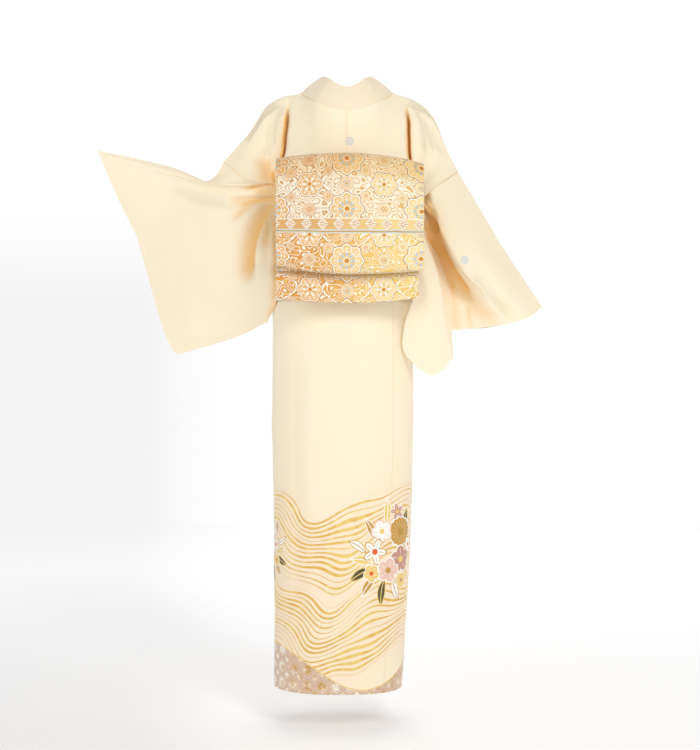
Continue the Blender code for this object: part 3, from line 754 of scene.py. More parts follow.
# One spray of flowers and leaves, in millimetres and degrees from its middle
SPRAY = (
    Leaf(-44, -30, 46, 205, 0.17, ("olive", "pale gold")),
    Leaf(-40, -8, 44, 172, 0.17, ("pale gold", "white")),
    Leaf(-30, -48, 44, 232, 0.17, ("gold", "white")),
    Leaf(-6, -60, 46, 262, 0.16, ("olive", "pale gold")),
    Leaf(20, -58, 42, 292, 0.17, ("white", "gold")),
    Leaf(-48, 14, 40, 150, 0.17, ("white", "gold")),
    Leaf(-24, 40, 42, 118, 0.17, ("gold", "white")),
    Leaf(40, 52, 42, 62, 0.17, ("olive", "pale gold")),
    Leaf(48, -34, 40, 320, 0.17, ("pale gold", "white")),
    Leaf(4, 66, 44, 88, 0.16, ("pale gold", "white")),
    Flower(30, 34, 25, 12, 16, 0.10, 0.6, ("gold", "white", "old gold")),
    Flower(-6, 36, 19, 30, 5, 0.34, 0.55, ("white", "blush", "pale gold")),
    Flower(32, -10, 23, 50, 5, 0.34, 0.50, ("rose", "white", "pale gold")),
    Flower(-18, 4, 22, 5, 5, 0.55, 1.6, ("white", "gold", "ember")),
    Flower(6, -26, 21, 70, 5, 0.34, 0.50, ("blush", "white", "gold")),
    Flower(-24, -30, 15, 20, 5, 0.34, 0.50, ("pale gold", "white", "ember")),
    Flower(22, 66, 14, 40, 5, 0.55, 1.6, ("rose", "white", "pale gold")),
    Flower(54, 12, 14, 15, 5, 0.34, 0.50, ("white", "gold", "ember")),
    Flower(34, -44, 13, 0, 12, 0.12, 0.6, ("pale gold", "white", "rose")),
)
Spray = namedtuple("Spray", "around height scale mirrored")
# Where the sprays lie: metres round the wearer from the centre back, and above the hem
SPRAYS = (
    Spray(0.100, 0.290, 1.32, False),
    Spray(-0.198, 0.300, 0.95, True),
    Spray(-0.500, 0.250, 1.15, False),
    Spray(0.345, 0.210, 0.95, True),
    Spray(-0.345, 0.150, 0.80, False),
)


# Metres above the hem, before the waves lift or drop them: the water and the calm strip in it
WATER = (0.075, 0.415)
CALM = (0.238, 0.262)
LINE_PITCH = 0.0112
BANK_TOP = 0.052
BANK_PITCH = 0.034


def painted_hem(name, first, last):
    """Flowing water in gold lines, a patterned bank, and sprays of flowers over them."""
    dye = Dye(name, 0.56)
    # Shade painted into the folds
    colour = paint_fold_shade(dye, crepe(dye))
    if first < 0.1 and last > -0.1:
        colour = roundel(dye, colour, BACK_CREST)
    where = dye.cloth_place()
    u, v = dye.axes(where)[:2]
    drift = dye.speckle(dye.vector(u, dye.times(v, 1.6), 0.0), 7.0, 1.0)
    level = dye.sum(
        v,
        dye.times(dye.wave(u, 0.36, 2.3), 0.034),
        dye.times(dye.wave(dye.scaled(v, -0.55, u), 0.155, 0.4), 0.0105),
        dye.times(drift, 0.030),
    )
    # The silk is tinted peach where the water is, fading out upwards
    tint = dye.times(dye.within(level, 0.045, 0.43, 0.06), 0.55)
    colour = dye.mix(tint, colour, (0.955, 0.760, 0.560))
    lines = dye.math("DIVIDE", level, LINE_PITCH)
    # Each line has its own swelling and thinning
    number = dye.math("FLOOR", lines)
    own = dye.fraction(dye.times(dye.math("SINE", dye.times(number, 78.23)), 43.7))
    swell = dye.math("SINE", dye.scaled(u, 17.0, dye.times(own, 12.0)))
    swell = dye.scaled(swell, 0.095, 0.155)
    middle = dye.size(dye.minus(dye.fraction(lines), 0.5))
    line = dye.step(dye.minus(swell, middle), 0.0, 0.035)
    water = dye.within(level, *WATER, 0.006)
    calm = dye.within(level, *CALM, 0.004)
    line = dye.times(line, water, dye.rest(calm))
    # Between the lines some of the water is strewn with gold
    shade = dye.speckle(where, 45.0, 2.0)
    shade = dye.step(dye.sum(shade, dye.times(dye.wave(u, 0.19, 0.8), 0.12)), 0.5, 0.16)
    grit = dye.over(dye.speckle(where, 900.0, 1.0), 0.66)
    grit = dye.times(grit, water, dye.step(dye.speckle(where, 16.0, 1.0), 0.56, 0.05))
    colour = dye.mix(dye.times(grit, 0.8), colour, GOLD)
    colour = dye.mix(line, colour, dye.mix(shade, (0.78, 0.46, 0.10), PALE_GOLD))
    # The low bank is patterned with eight-petalled wheels and dots in a woven-looking grid
    bank = dye.minus(BANK_TOP, dye.sum(v, dye.times(dye.wave(u, 0.47, 0.9), 0.044)))
    ashore = dye.step(bank, 0.0, 0.0010)
    wheels = 0.0
    for shift, petals, reach in ((0.0, 8, 0.40), (0.5, 4, 0.20)):
        a, b = dye.cells(u, v, (BANK_PITCH, BANK_PITCH), (shift, shift))
        away, angle = dye.polar(a, b)
        turn = dye.math("COSINE", dye.times(angle, petals))
        edge = dye.minus(dye.scaled(turn, reach * 0.16, reach * 0.84), away)
        ring = dye.within(edge, 0.0, 0.055, 0.012)
        core = dye.within(away, reach * 0.28, reach * 0.55, 0.012)
        dot = dye.below(away, reach * 0.16, 0.012)
        wheels = dye.most(wheels, dye.most(ring, dye.most(core, dot)))
    sprinkle = dye.over(dye.speckle(where, 520.0, 1.0), 0.60)
    shore = dye.mix(dye.times(sprinkle, 0.75), PAINTS["mist"], PALE_GOLD)
    shore = dye.mix(wheels, shore, dye.mix(shade, GOLD, (0.97, 0.92, 0.82)))
    colour = dye.mix(ashore, colour, shore)
    rim = dye.within(bank, -0.0022, 0.0, 0.0005)
    colour = dye.mix(rim, colour, PALE_GOLD)
    gilt = dye.most(dye.times(line, dye.rest(ashore)), rim)
    # What lies wholly on other panels is left off this one
    for spray in SPRAYS:
        for item in SPRAY:
            x = spray.around + item.x * spray.scale / (-1000 if spray.mirrored else 1000)
            if not first - 0.03 < x < last + 0.03:
                continue
            turn = 180 - item.turn if spray.mirrored else item.turn
            node = dye.tree.nodes.new("ShaderNodeGroup")
            node.node_tree = FLOWER if isinstance(item, Flower) else LEAF
            dye.put(node.inputs["Place"], where)
            node.inputs["Centre"].default_value = (x, spray.height + item.y * spray.scale / 1000, 0)
            node.inputs["Size"].default_value = item.size * spray.scale / 1000
            node.inputs["Turn"].default_value = math.radians(turn)
            for title, value in list(item._asdict().items())[4:-1]:
                node.inputs[title.capitalize()].default_value = value
            for part, paint in enumerate(item.paints):
                here = dye.over(node.outputs["Part"], part + 0.5)
                colour = dye.mix(here, colour, PAINTS[paint])
            gilt = dye.times(gilt, dye.under(node.outputs["Part"], 0.5))
    dye.put(dye.shader.inputs["Base Color"], colour)
    dye.put(dye.shader.inputs["Metallic"], dye.times(gilt, 0.30))
    return dye.material


PATTERN_RADIUS = 0.135
PATTERN_CENTRE = -0.008


def round_the_body(points, turn):
    """Cloth places on the skirt: metres round the wearer, and height above the hem. They break off
    half a turn away from the given angle."""
    x, y, z = points.T
    angle = np.degrees(np.arctan2(x - PATTERN_CENTRE, -y))
    angle = np.where(angle > turn + 180, angle - 360, np.where(angle < turn - 180, angle + 360, angle))
    return np.stack([np.radians(angle) * PATTERN_RADIUS, z - HEM], axis=1)


# The last number of a fold, where given, is the shade painted along it: golden above 0, grey below
BODY_FOLDS = {
    (-1, "back"): (
        Fold("deep crease", 0, 5, 4, ((-130, -8), (-130, -90), (-130, -190)), 1.35),
        Fold("valley from the neck", -4.5, 8, 9,
             ((-128, 2), (-146, -20), (-153, -54), (-154, -110)), -0.55),
        Fold("roll beside it", 3, 6, 7, ((-150, -12), (-161, -50), (-160, -110))),
        Fold("crease, soft side", -1.5, 4, 13,
             ((-128, -24), (-133, -60), (-140, -110), (-147, -150)), 0.25),
        Fold("second valley", -4, 7, 8, ((-160, -26), (-168, -80), (-164, -130)), -0.3),
        Fold("pocket by the arm pit", -8, 12, 20, ((-166, -84), (-165, -140), (-160, -205)), 0.0),
        Fold("shade in the pocket", -2, 12, 26, ((-164, -110), (-160, -168), (-158, -230)), 0.62),
        Fold("foot of the pocket", 0, 15, 13, ((-152, -138), (-151, -172), (-150, -206)), 0.85),
        Fold("pull to the arm pit", 3.5, 9, 9, ((-236, -110), (-200, -140), (-158, -160))),
        Fold("turn of the shoulder", -3, 2.5, 22,
             ((-132, 0), (-176, -28), (-198, -60), (-216, -94)), -0.8),
        Fold(
            "along the collar", -0.5, 2.2, 2.2,
            ((-104, 11), (-73, -5), (-46, -20.5), (-24, -30), (2, -34), (30, -33), (50, -30)), 0.55,
        ),
        Fold("seat, left", -3.2, 20, 26, ((-98, -440), (-106, -700), (-103, -1000), (-100, -1250)), -0.2),
        Fold("left edge of the seat", 2, 14, 14, ((-118, -470), (-124, -800), (-122, -1200))),
        Fold("skirt, middle", 1.6, 40, 40, ((-30, -470), (-26, -800), (-30, -1200))),
    ),
    (1, "back"): (
        Fold("deep crease", 0, 5, 5, ((125, -15), (125, -90), (125, -190)), 1.35),
        Fold("valley from the neck", -4, 8, 7, ((142, -2), (155, -28), (162, -60), (162, -120)), -0.55),
        Fold("second valley", -3.5, 7, 7, ((158, -22), (173, -62), (188, -110)), -0.5),
        Fold("third valley", -3, 7, 7, ((168, -32), (186, -70), (208, -118)), -0.3),
        Fold("pull to the arm pit", 3, 9, 9, ((206, -140), (182, -168), (158, -196))),
        Fold("turn of the shoulder", -3, 22, 2.5, ((112, 0), (178, -26), (206, -68), (226, -112)), -0.75),
        Fold(
            "along the collar", -0.5, 2.2, 2.2,
            ((106, 11), (76, -5), (50, -20.5), (28, -30), (2, -34), (-26, -33), (-46, -30)), 0.55,
        ),
        Fold("skirt, right", -2.6, 12, 16, ((74, -440), (66, -700), (58, -1000), (54, -1230)), -0.2),
    ),
    (-1, "front"): (
        Fold("pull to the arm", -5, 14, 14, ((-120, -30), (-160, -90), (-170, -160)), 0.15),
        Fold("valley from the neck", -3, 9, 9, ((-92, -20), (-104, -90), (-96, -190)), -0.3),
    ),
    (1, "front"): (
        Fold("pull to the arm", -5, 14, 14, ((120, -30), (156, -90), (168, -170)), 0.15),
        Fold("valley from the neck", -3, 9, 9, ((92, -20), (104, -90), (96, -190)), -0.3),
    ),
}
# The deep creases beside the shoulder blades lean outwards as they go down to the belt
CREASE_TUGS = (
    Tug("left, at the belt", -131, -140, 34, (-13, 0, 0)),
    Tug("left, half way", -131, -80, 26, (-4, 0, 0)),
    Tug("right, at the belt", 125, -140, 34, (9, 0, 0)),
    Tug("right, half way", 125, -84, 26, (5, 0, 0)),
    Tug("right, below the shoulder", 123, -46, 22, (5, 0, 0)),
)


PANEL_DOWN, PANEL_ACROSS = 8, 5  # faces to each row and column of the panel's points
BODY_UNEVEN = (0.0011, 0.06, 3)  # height and size in metres, and place in the noise
# How much shade is painted along the seams, where the cloth sinks in a little
NECK_SHADE, ARMHOLE_SHADE, CENTRE_SHADE = 0.5, 0.22, 0.16
# Width and length of each panel as it would lie flat, and the flat area inside its shaped edges
BODY_CUT = {-1: (0.32, 2.56, 0.69), 1: (0.32, 2.56, 0.56)}
BODY_REACH = {-1: (-0.46, 0.10), 1: (0.09, 0.56)}  # metres round the wearer that a panel covers


def body_panel(side):
    name = "left" if side < 0 else "right"
    parts, fold_shades, grids = [], [], {}
    for face in ("back", "front"):
        rows = chest_rows(side, face) + skirt_rows(side, face)[1:]
        pull_in(rows)
        for row, step in zip(rows, across_seam(armhole_seam(side, face), side)):
            row[-1] = row[-1] - step * SEAM_GAP
        grids[face] = rows
    back, front = grids["back"], grids["front"]
    for column in range(NECK_COLUMN + 1):
        back[0][column] = back[0][column] + (back[1][column] - back[0][column]).normalized() * SEAM_GAP
    front[0][-1] = back[0][-1].copy()
    front[0][0] = back[0][NECK_COLUMN].copy()
    over = NECK_COLUMN * PANEL_ACROSS
    for face, rows in grids.items():
        flip = (side < 0) == (face == "back")
        grid = finer(rows, PANEL_DOWN, PANEL_ACROSS)
        normals = grid_normals(grid, flip)
        tone = lay_folds(grid, normals, BODY_FOLDS[(side, face)])
        # Painted shade along the armhole seam, and on the back along the neck and the centre seam
        tone[: PANEL_DOWN * (SEAM_ROWS - 1) + 1, -1] = ARMHOLE_SHADE
        if face == "back":
            tone[0, : over + 1] = NECK_SHADE
            tone[1:, 0] = CENTRE_SHADE
            tug(grid, CREASE_TUGS)
        fold_shades.append(tone)
        uneven(grid, away_from_wearer(grid), *BODY_UNEVEN)
        parts.append([grid, flip])
    parts[1][0][0, :] = parts[0][0][0, over:]
    fold_shades[1][0, :] = fold_shades[0][0, over:]
    piece = cloth(
        f"silk_body_{name}", parts, SILK_WALL,
        lambda points: round_the_body(points, -76 if side < 0 else 140), fold_shades,
    )
    *flat, area = BODY_CUT[side]
    lay_on(
        piece, f"body_{name}", f"silk_body_{name}",
        painted_hem(f"painted silk, {name} body", *BODY_REACH[side]),
        flat=tuple(flat), held="hung", area=area, rests_on=["collar"],
    )


for side in (-1, 1):
    body_panel(side)


# Overlap panels. Each is a half-width length of the same silk, sewn to a front edge of the body;
# the left one closes the wrap on the outside, the right one is tucked away inside it.

OVERLAP_DOWN, OVERLAP_ACROSS = 10, 5  # faces to each row and column of the panel's points


def overlap_panel(name, start, end, columns, proud, turn, reach, flat):
    """A panel from the angle of its seam to that of its free edge; reach is where its picture lies."""
    rows = []
    for level in [lv for lv in SKIRT_LEVELS if lv < OVERLAP_TOP]:
        angles = [start + (end - start) * j / (columns - 1) for j in range(columns)]
        rows.append([ring_point(level, a, proud) for a in angles])
    pull_in(rows)
    grid = finer(rows, OVERLAP_DOWN, OVERLAP_ACROSS)
    uneven(grid, away_from_wearer(grid), *BODY_UNEVEN)
    piece = cloth(
        f"silk_overlap_{name}", [(grid, start < 0)], SILK_WALL, lambda points: round_the_body(points, turn)
    )
    lay_on(
        piece, f"overlap_{name}", f"silk_overlap_{name}",
        painted_hem(f"painted silk, {name} overlap", *reach),
        flat=flat, held="hung", rests_on=[f"silk_body_{name}"],
    )


overlap_panel(
    "left", LEFT_OVERLAP_SEAM, LEFT_OVERLAP_EDGE, 6, WRAP_PROUD, -220, (-0.61, -0.45), (0.14, 0.84)
)
overlap_panel("right", RIGHT_OVERLAP_SEAM, RIGHT_OVERLAP_EDGE, 4, 0.0, 250, (0.55, 0.62), (0.05, 0.84))


# Collar. One long band of the silk is folded along its length over a stiff strip and sewn round
# the neck and down both fronts; behind the neck it stands off in a soft curve.

COLLAR_WIDTH = 0.054
COLLAR_THICK = 0.0036
COLLAR_LIFT = 0.0010
COLLAR_TURN = 0.2  # share of the way down the front over which the collar's fold leaves the neck
Edge = namedtuple("Edge", "reach x y z")
COLLAR_BACK = (
    Edge(0.000, 0.000, -0.098, 0.0165),
    Edge(0.035, 0.023, -0.090, 0.026),
    Edge(0.068, 0.037, -0.070, 0.040),
    Edge(0.090, 0.048, -0.040, 0.052),
    Edge(0.100, 0.053, -0.006, 0.058),
)


def collar_half(side):
    reaches, *axes = zip(*COLLAR_BACK)
    seams = chest_rows(side, "back")[0][: NECK_COLUMN + 1]
    edges = []
    for column in BACK[: NECK_COLUMN + 1]:
        x, y, z = [float(np.interp(column.reach, reaches, values)) for values in axes]
        edges.append(Vector((side * x, y, z)))
    neck = edges[-1]
    front = [row[0] for row in chest_rows(side, "front")] + [skirt_rows(side, "front")[1][0]]
    along = front[-2] - front[0]
    across = Vector((along.z, 0, -along.x)).normalized() * COLLAR_WIDTH
    if across.z < 0:
        across = -across
    proud = WRAP_PROUD + COLLAR_LIFT if side < 0 else COLLAR_LIFT
    for share, seam in zip(CHEST_ROWS[1:] + (1.2,), front[1:]):
        edge = seam + across
        edge.y = breast(edge.x, edge.z) + proud
        seams.append(seam)
        edges.append(neck.lerp(edge, ease(share / COLLAR_TURN)))
    return seams, edges


right_seams, right_edges = collar_half(1)
left_seams, left_edges = collar_half(-1)
collar_rows = []
for s, e in zip(right_seams[::-1] + left_seams[1:], right_edges[::-1] + left_edges[1:]):
    start = s + (e - s).normalized() * SEAM_GAP
    middle = s.lerp(e, 0.5)
    collar_rows.append([start, middle + outward(middle) * 0.002, e])
collar_grid = finer(collar_rows, 6, 6)
collar = cloth("silk_collar", [(collar_grid, True)], COLLAR_THICK)
bpy.context.view_layer.objects.active = collar
rounding = collar.modifiers.new("rounded fold", "BEVEL")
rounding.width = 0.0012
rounding.segments = 3
rounding.limit_method = "ANGLE"
rounding.angle_limit = math.radians(60)
bpy.ops.object.modifier_apply(modifier=rounding.name)
lay_on(
    collar, "collar", "silk_collar", plain_silk("collar silk", (0.955, 0.825, 0.625), (0.940, 0.790, 0.580)),
    flat=(0.054, 1.05), held="folded", rests_on=["silk_body_left", "silk_body_right"],
)


# Sleeves. Each is a bag: one length of silk folded over the top of the arm, sewn along the bottom
# and up the outer edge as far as the cuff's opening, and left open at the wearer's side. The left
# arm is raised, so its bag hangs from a taut top edge; the right one falls in deep folds.

Line = namedtuple("Line", "name faces points")
LEFT_TOP = Line("top fold", 2, ((-263, -20, -128), (-300, 20, -162), (-383, 60, -126), (-558, 120, -79)))
LEFT_END = Line("bottom fold", 0, ((-172, -5, -468), (-230, 35, -495), (-313, 80, -519), (-383, 115, -536)))
LEFT_BACK = (
    LEFT_TOP,
    Line("under the seam", 2, ((-235, -48, -153), (-290, 0, -166), (-382, 50, -138), (-554, 118, -86))),
    Line("above the ridge", 3, ((-213, -60, -170), (-280, -12, -172), (-382, 52, -144), (-552, 117, -90))),
    Line("ridge", 1, ((-152, -64, -181), (-260, -26, -178), (-383, 50, -149), (-550, 117, -97))),
    Line("tuck", 1, ((-159, -54, -189), (-260, -14, -182), (-383, 53, -156), (-547, 117.5, -103))),
    Line("sheet top", 2, ((-158, -58, -202), (-260, -22, -200), (-382, 54, -176), (-540, 118, -121))),
    Line("elbow level", 2, ((-156, -60, -246), (-258, -20, -253), (-373, 50, -240), (-511, 120, -188))),
    Line("cuff end", 2, ((-158, -55, -315), (-255, -10, -329), (-361, 55, -318), (-469, 120, -273))),
    Line("hip level", 2, ((-163, -40, -385), (-254, 5, -410), (-348, 60, -418), (-444, 120, -362))),
    Line("low level", 2, ((-168, -20, -437), (-243, 30, -475), (-332, 75, -499), (-408, 119, -485))),
    LEFT_END,
)
LEFT_FRONT = (
    LEFT_TOP,
    Line("front of arm", 2, ((-246, 22, -150), (-298, 58, -176), (-383, 96, -140), (-550, 136, -92))),
    Line("front high", 3, ((-212, 44, -170), (-285, 70, -205), (-383, 104, -180), (-540, 142, -121))),
    Line("front armpit", 1, ((-152, 50, -186), (-275, 62, -235), (-380, 104, -216), (-524, 146, -160))),
    Line("front elbow", 2, ((-172, 48, -230), (-272, 55, -262), (-375, 98, -246), (-511, 142, -188))),
    Line("front cuff end", 2, ((-172, 30, -315), (-265, 35, -329), (-365, 84, -318), (-469, 120, -273))),
    Line("front hip", 2, ((-176, 10, -385), (-260, 35, -410), (-351, 82, -418), (-444, 120, -362))),
    Line("front low", 2, ((-178, 6, -437), (-247, 48, -475), (-334, 90, -496), (-417, 120, -462))),
    LEFT_END,
)
RIGHT_TOP = Line("top fold", 3, ((238, -5, -146), (328, 0, -297), (419, 0, -436)))
RIGHT_END = Line("bottom fold", 0, ((122, -85, -270), (117, -90, -490), (176, -84, -590)))
RIGHT_BACK = (
    RIGHT_TOP,
    Line("back of arm", 4, ((209, -45, -170), (286, -58, -334), (383, -32, -461))),
    Line("ridge", 2, ((161, -78, -209), (226, -75, -335), (340, -32, -474))),
    Line("hollow", 1, ((173, -66, -224), (208, -12, -357), (280, -12, -482))),
    Line("cuff end", 2, ((172, -60, -236), (193, -14, -372), (219, -24, -488))),
    Line("strip edge", 1, ((158, -76, -238), (190, -82, -386), (222, -78, -545))),
    Line("strip", 2, ((144, -84, -254), (160, -98, -410), (203, -84, -570))),
    RIGHT_END,
)
RIGHT_FRONT = (
    RIGHT_TOP,
    Line("front of arm", 4, ((222, 30, -163), (301, 45, -306), (374, 22, -462))),
    Line("front armpit", 3, ((168, 40, -208), (268, 46, -332), (296, 14, -481))),
    Line("front cuff end", 2, ((176, 22, -232), (236, 26, -350), (219, -24, -488))),
    Line("front low", 1, ((172, 0, -240), (208, -12, -396), (222, -78, -545))),
    Line("behind strip", 2, ((148, -50, -254), (166, -66, -412), (203, -84, -570))),
    RIGHT_END,
)
SLEEVE_COLUMNS = 11
SLEEVE_FACES = {-1: {"back": LEFT_BACK, "front": LEFT_FRONT}, 1: {"back": RIGHT_BACK, "front": RIGHT_FRONT}}
# The last number of a fold, where given, is the shade painted along it: golden above 0, grey below
SLEEVE_FOLDS = {
    (-1, "back"): (
        Fold("under the ridge", -9, 15, 6, ((-130, -196), (-186, -203), (-222, -208), (-262, -206)), 0.42),
        Fold("first pull", -6, 6, 9, ((-130, -194), (-186, -212), (-222, -234), (-250, -262)), 0.55),
        Fold("hollow", -21, 8, 20, ((-142, -196), (-178, -244), (-202, -306), (-214, -396)), 0.9),
        Fold("bright edge of the hollow", 6, 9, 5,
             ((-148, -202), (-172, -246), (-190, -296), (-204, -356))),
        Fold("second hollow", -5, 11, 7, ((-140, -196), (-162, -262), (-176, -310), (-184, -376)), 0.3),
        Fold("tuck under the body panel", -2.5, 3, 3,
             ((-118, -181), (-160, -182), (-190, -184), (-226, -188)), 0.95),
        Fold("shade under the tuck", 0, 8, 10,
             ((-110, -191), (-150, -192), (-176, -195), (-204, -200)), 0.72),
        Fold("shade under the arm pit", 0, 8, 9,
             ((-130, -205), (-176, -210), (-206, -215), (-236, -228)), 0.8),
        Fold("shade beside the hollow", 0, 11, 12,
             ((-146, -190), (-168, -236), (-174, -270), (-176, -330)), 0.7),
        Fold("shade at the inner edge", 0, 7, 7,
             ((-156, -220), (-159, -300), (-160, -370), (-166, -460)), 0.85),
        Fold("along the arm", -4, 9, 14, ((-236, -222), (-320, -202), (-400, -164)), -0.28),
        Fold("roll on the inner edge", 4, 7, 8, ((-160, -270), (-168, -340), (-170, -410))),
        Fold("shade above the hem", -6, 8, 10, ((-158, -330), (-165, -410), (-168, -476)), 0.75),
        Fold("slack", -3, 26, 26, ((-340, -420), (-280, -440), (-220, -430))),
        Fold("slack in the middle", 3, 40, 40, ((-400, -250), (-330, -330), (-290, -470))),
        Fold("shade in the middle", 0, 46, 40,
             ((-420, -190), (-330, -300), (-300, -380), (-300, -460)), -0.04),
    ),
    (-1, "front"): (
        Fold("pull to the arm pit", -8, 12, 12, ((-176, -210), (-220, -250), (-270, -330)), 0.3),
        Fold("second pull", -6, 12, 12, ((-176, -240), (-196, -320), (-230, -410)), 0.3),
        Fold("slack in the middle", 4, 30, 30, ((-420, -230), (-340, -330), (-300, -470))),
    ),
    (1, "back"): (
        Fold("first edge", 5, 10, 2.5, ((164, -184), (180, -216), (187, -240), (189, -262))),
        Fold("first pocket", -13, 5, 13, ((158, -176), (176, -222), (184, -254), (184, -300)), 0.95),
        Fold("ridge", 6, 17, 3,
             ((160, -244), (191, -295), (227, -342), (259, -378), (283, -402), (306, -436))),
        Fold("hollow", -13, 5, 15,
             ((160, -238), (186, -300), (218, -356), (250, -400), (272, -440)), 0.95),
        Fold("hollow by the edge", -3, 18, 2.5,
             ((166, -200), (186, -300), (197, -350), (210, -425), (221, -500)), 0.9),
        Fold("floor of the hollow", -2, 16, 16,
             ((180, -250), (200, -330), (222, -382), (236, -430)), 0.75),
        Fold("foot of the ridge", -6, 16, 6, ((250, -356), (286, -402), (318, -436), (350, -468)), -0.45),
        Fold("shade below the ridge", 0, 13, 13,
             ((236, -372), (268, -426), (292, -448), (326, -470)), 0.32),
        Fold("along the arm", 0, 30, 30, ((215, -215), (270, -300), (350, -400))),
        Fold("first gather", -5, 5, 6, ((226, -440), (234, -466), (238, -500)), 0.3),
        Fold("second gather", -5, 4, 6, ((252, -432), (262, -462), (270, -500)), 0.3),
        Fold("third gather", 4, 5, 5, ((246, -440), (252, -464), (256, -500))),
    ),
    (1, "front"): (
        Fold("pull to the arm pit", -8, 14, 14, ((178, -230), (230, -300), (290, -400)), 0.3),
        Fold("slack", -5, 16, 16, ((240, -240), (300, -330), (350, -430))),
    ),
}
# The back of the left sleeve goes in behind the drum, and the strip of the right one leans outwards
# as it leaves the drum
SLEEVE_TUGS = {
    -1: (
        Tug("inner edge, at the arm pit", -159, -193, 10, (8, -4, 0)),
        Tug("inner edge, top", -155, -232, 30, (5, 0, 0)),
        Tug("inner edge, middle", -157, -282, 30, (5, 0, 0)),
        Tug("inner edge, low", -160, -332, 30, (9, -14, 0)),
        Tug("inner edge, by the waist fold", -162, -384, 30, (13, -26, 0)),
        Tug("inner edge, by the skirt", -166, -430, 26, (14, -22, 0)),
    ),
    1: (
        Tug("edge behind the drum", 171, -228, 13, (-10, -4, 0)),
        Tug("edge by the tail", 112, -412, 52, (25, 0, 0)),
        Tug("low corner", 124, -524, 26, (-10, 0, -8)),
        Tug("low edge", 146, -562, 24, (-5, 0, -8)),
    ),
}
Corner = namedtuple("Corner", "x z up along radius")
SLEEVE_CORNERS = {
    -1: (Corner(-383, -536, (-55, 150), (70, 17), 13),),
    1: (Corner(176, -590, (-58, 61), (48, 45), 12),),
}


def round_off(grid, corners):
    """Rounds a bag's corner, as its seam allowance is gathered round a curve."""
    for item in corners:
        sides = np.array([item.up, item.along], dtype=float).T
        sides /= np.linalg.norm(sides, axis=0)
        flat = grid[..., [0, 2]].reshape(-1, 2) * 1000 - (item.x, item.z)
        share = item.radius - np.linalg.solve(sides, flat.T).T
        inside = (share > 0).all(axis=1)
        reach = np.maximum(np.hypot(share[:, 0], share[:, 1]), 1e-9)
        bent = share * (share.max(axis=1) / reach)[:, None]
        moved = ((item.radius - bent) @ sides.T + (item.x, item.z)) / 1000
        moved = np.where(inside[:, None], moved, grid[..., [0, 2]].reshape(-1, 2))
        grid[..., 0] = moved[:, 0].reshape(grid.shape[:2])
        grid[..., 2] = moved[:, 1].reshape(grid.shape[:2])


SLEEVE_CREST = (0.2471, -0.0764, -0.3419)  # middle of the roundel on the back of the right sleeve


def between(coarse, i, j, t):
    """A point of column j, a share t of the way from line i to the next one."""
    a, d = coarse[max(i - 1, 0)][j], coarse[min(i + 2, len(coarse) - 1)][j]
    b, c = coarse[i][j], coarse[i + 1][j]
    reach = 0.8 * (c - b).length
    start, stop = (c - a) / 2, (d - b) / 2
    start = start.normalized() * min(start.length, reach)
    stop = stop.normalized() * min(stop.length, reach)
    keep = 2 * t**3 - 3 * t**2
    return b * (keep + 1) + start * (t**3 - 2 * t**2 + t) - c * keep + stop * (t**3 - t**2)


def sleeve_rows(lines, seam):
    coarse = [evenly([Vector(p) / 1000 for p in line.points], SLEEVE_COLUMNS) for line in lines]
    rows = []
    for i, line in enumerate(lines[:-1]):
        for k in range(line.faces):
            rows.append([between(coarse, i, j, k / line.faces) for j in range(SLEEVE_COLUMNS)])
    rows.append(coarse[-1])
    for row, point, step in zip(rows, seam, across_seam(seam, math.copysign(1, seam[0].x))):
        row[0] = point + step * SEAM_GAP
    return rows


def cuff_end(lines):
    """The row where the cuff's opening ends and the sewn edge begins."""
    first = next(i for i, line in enumerate(lines) if "cuff end" in line.name)
    return sum(line.faces for line in lines[:first])


SLEEVE_DOWN, SLEEVE_ACROSS = 8, 6  # faces to each row and column of the sleeve's points
SLEEVE_UNEVEN = (0.0012, 0.07, 5)
# Width from the shoulder seam to the cuff, length all round the bag, and area inside its slanting edges
SLEEVE_CUT = {-1: (0.45, 1.00, 0.26), 1: (0.34, 0.74, 0.20)}


def sleeve(side):
    name = "left" if side < 0 else "right"
    lines = SLEEVE_FACES[side]
    grids = {face: sleeve_rows(lines[face], armhole_seam(side, face)) for face in lines}
    cuffs = {face: cuff_end(lines[face]) for face in lines}
    grids["front"][0][0] = grids["back"][0][0].copy()
    for a, b in zip(grids["back"][cuffs["back"] :], grids["front"][cuffs["front"] :]):
        b[-1] = a[-1].copy()
    parts, fold_shades = [], []
    for face, rows in grids.items():
        flip = (side < 0) == (face == "back")
        grid = finer(rows, SLEEVE_DOWN, SLEEVE_ACROSS)
        normals = grid_normals(grid, flip)
        tone = lay_folds(grid, normals, SLEEVE_FOLDS[(side, face)])
        # Painted shade along the armhole seam
        tone[: SLEEVE_DOWN * (SEAM_ROWS - 1) + 1, 0] = ARMHOLE_SHADE
        uneven(grid, normals, *SLEEVE_UNEVEN)
        if face == "back" or side > 0:
            tug(grid, SLEEVE_TUGS[side])
        parts.append((grid, flip))
        fold_shades.append(tone)
    back, front = parts[0][0], parts[1][0]
    front[0, :] = back[0, :]
    front[-1, :] = back[-1, :]
    front[cuffs["front"] * SLEEVE_DOWN :, -1] = back[cuffs["back"] * SLEEVE_DOWN :, -1]
    for grid in (back, front):
        round_off(grid, SLEEVE_CORNERS[side])
    piece = cloth(f"silk_sleeve_{name}", parts, SILK_WALL, fold_shades=fold_shades)
    *flat, area = SLEEVE_CUT[side]
    lay_on(
        piece, f"sleeve_{name}", f"silk_sleeve_{name}",
        plain_silk(f"sleeve silk, {name}", crest=SLEEVE_CREST if side > 0 else None),
        flat=tuple(flat), held="hung", area=area, rests_on=[f"silk_body_{name}"],
    )


sleeve(-1)
sleeve(1)


# Waist fold. The body's spare length is folded up under the belt, and its lower edge shows as a
# flat double band of silk below the belt.

BAND_STEPS = 144


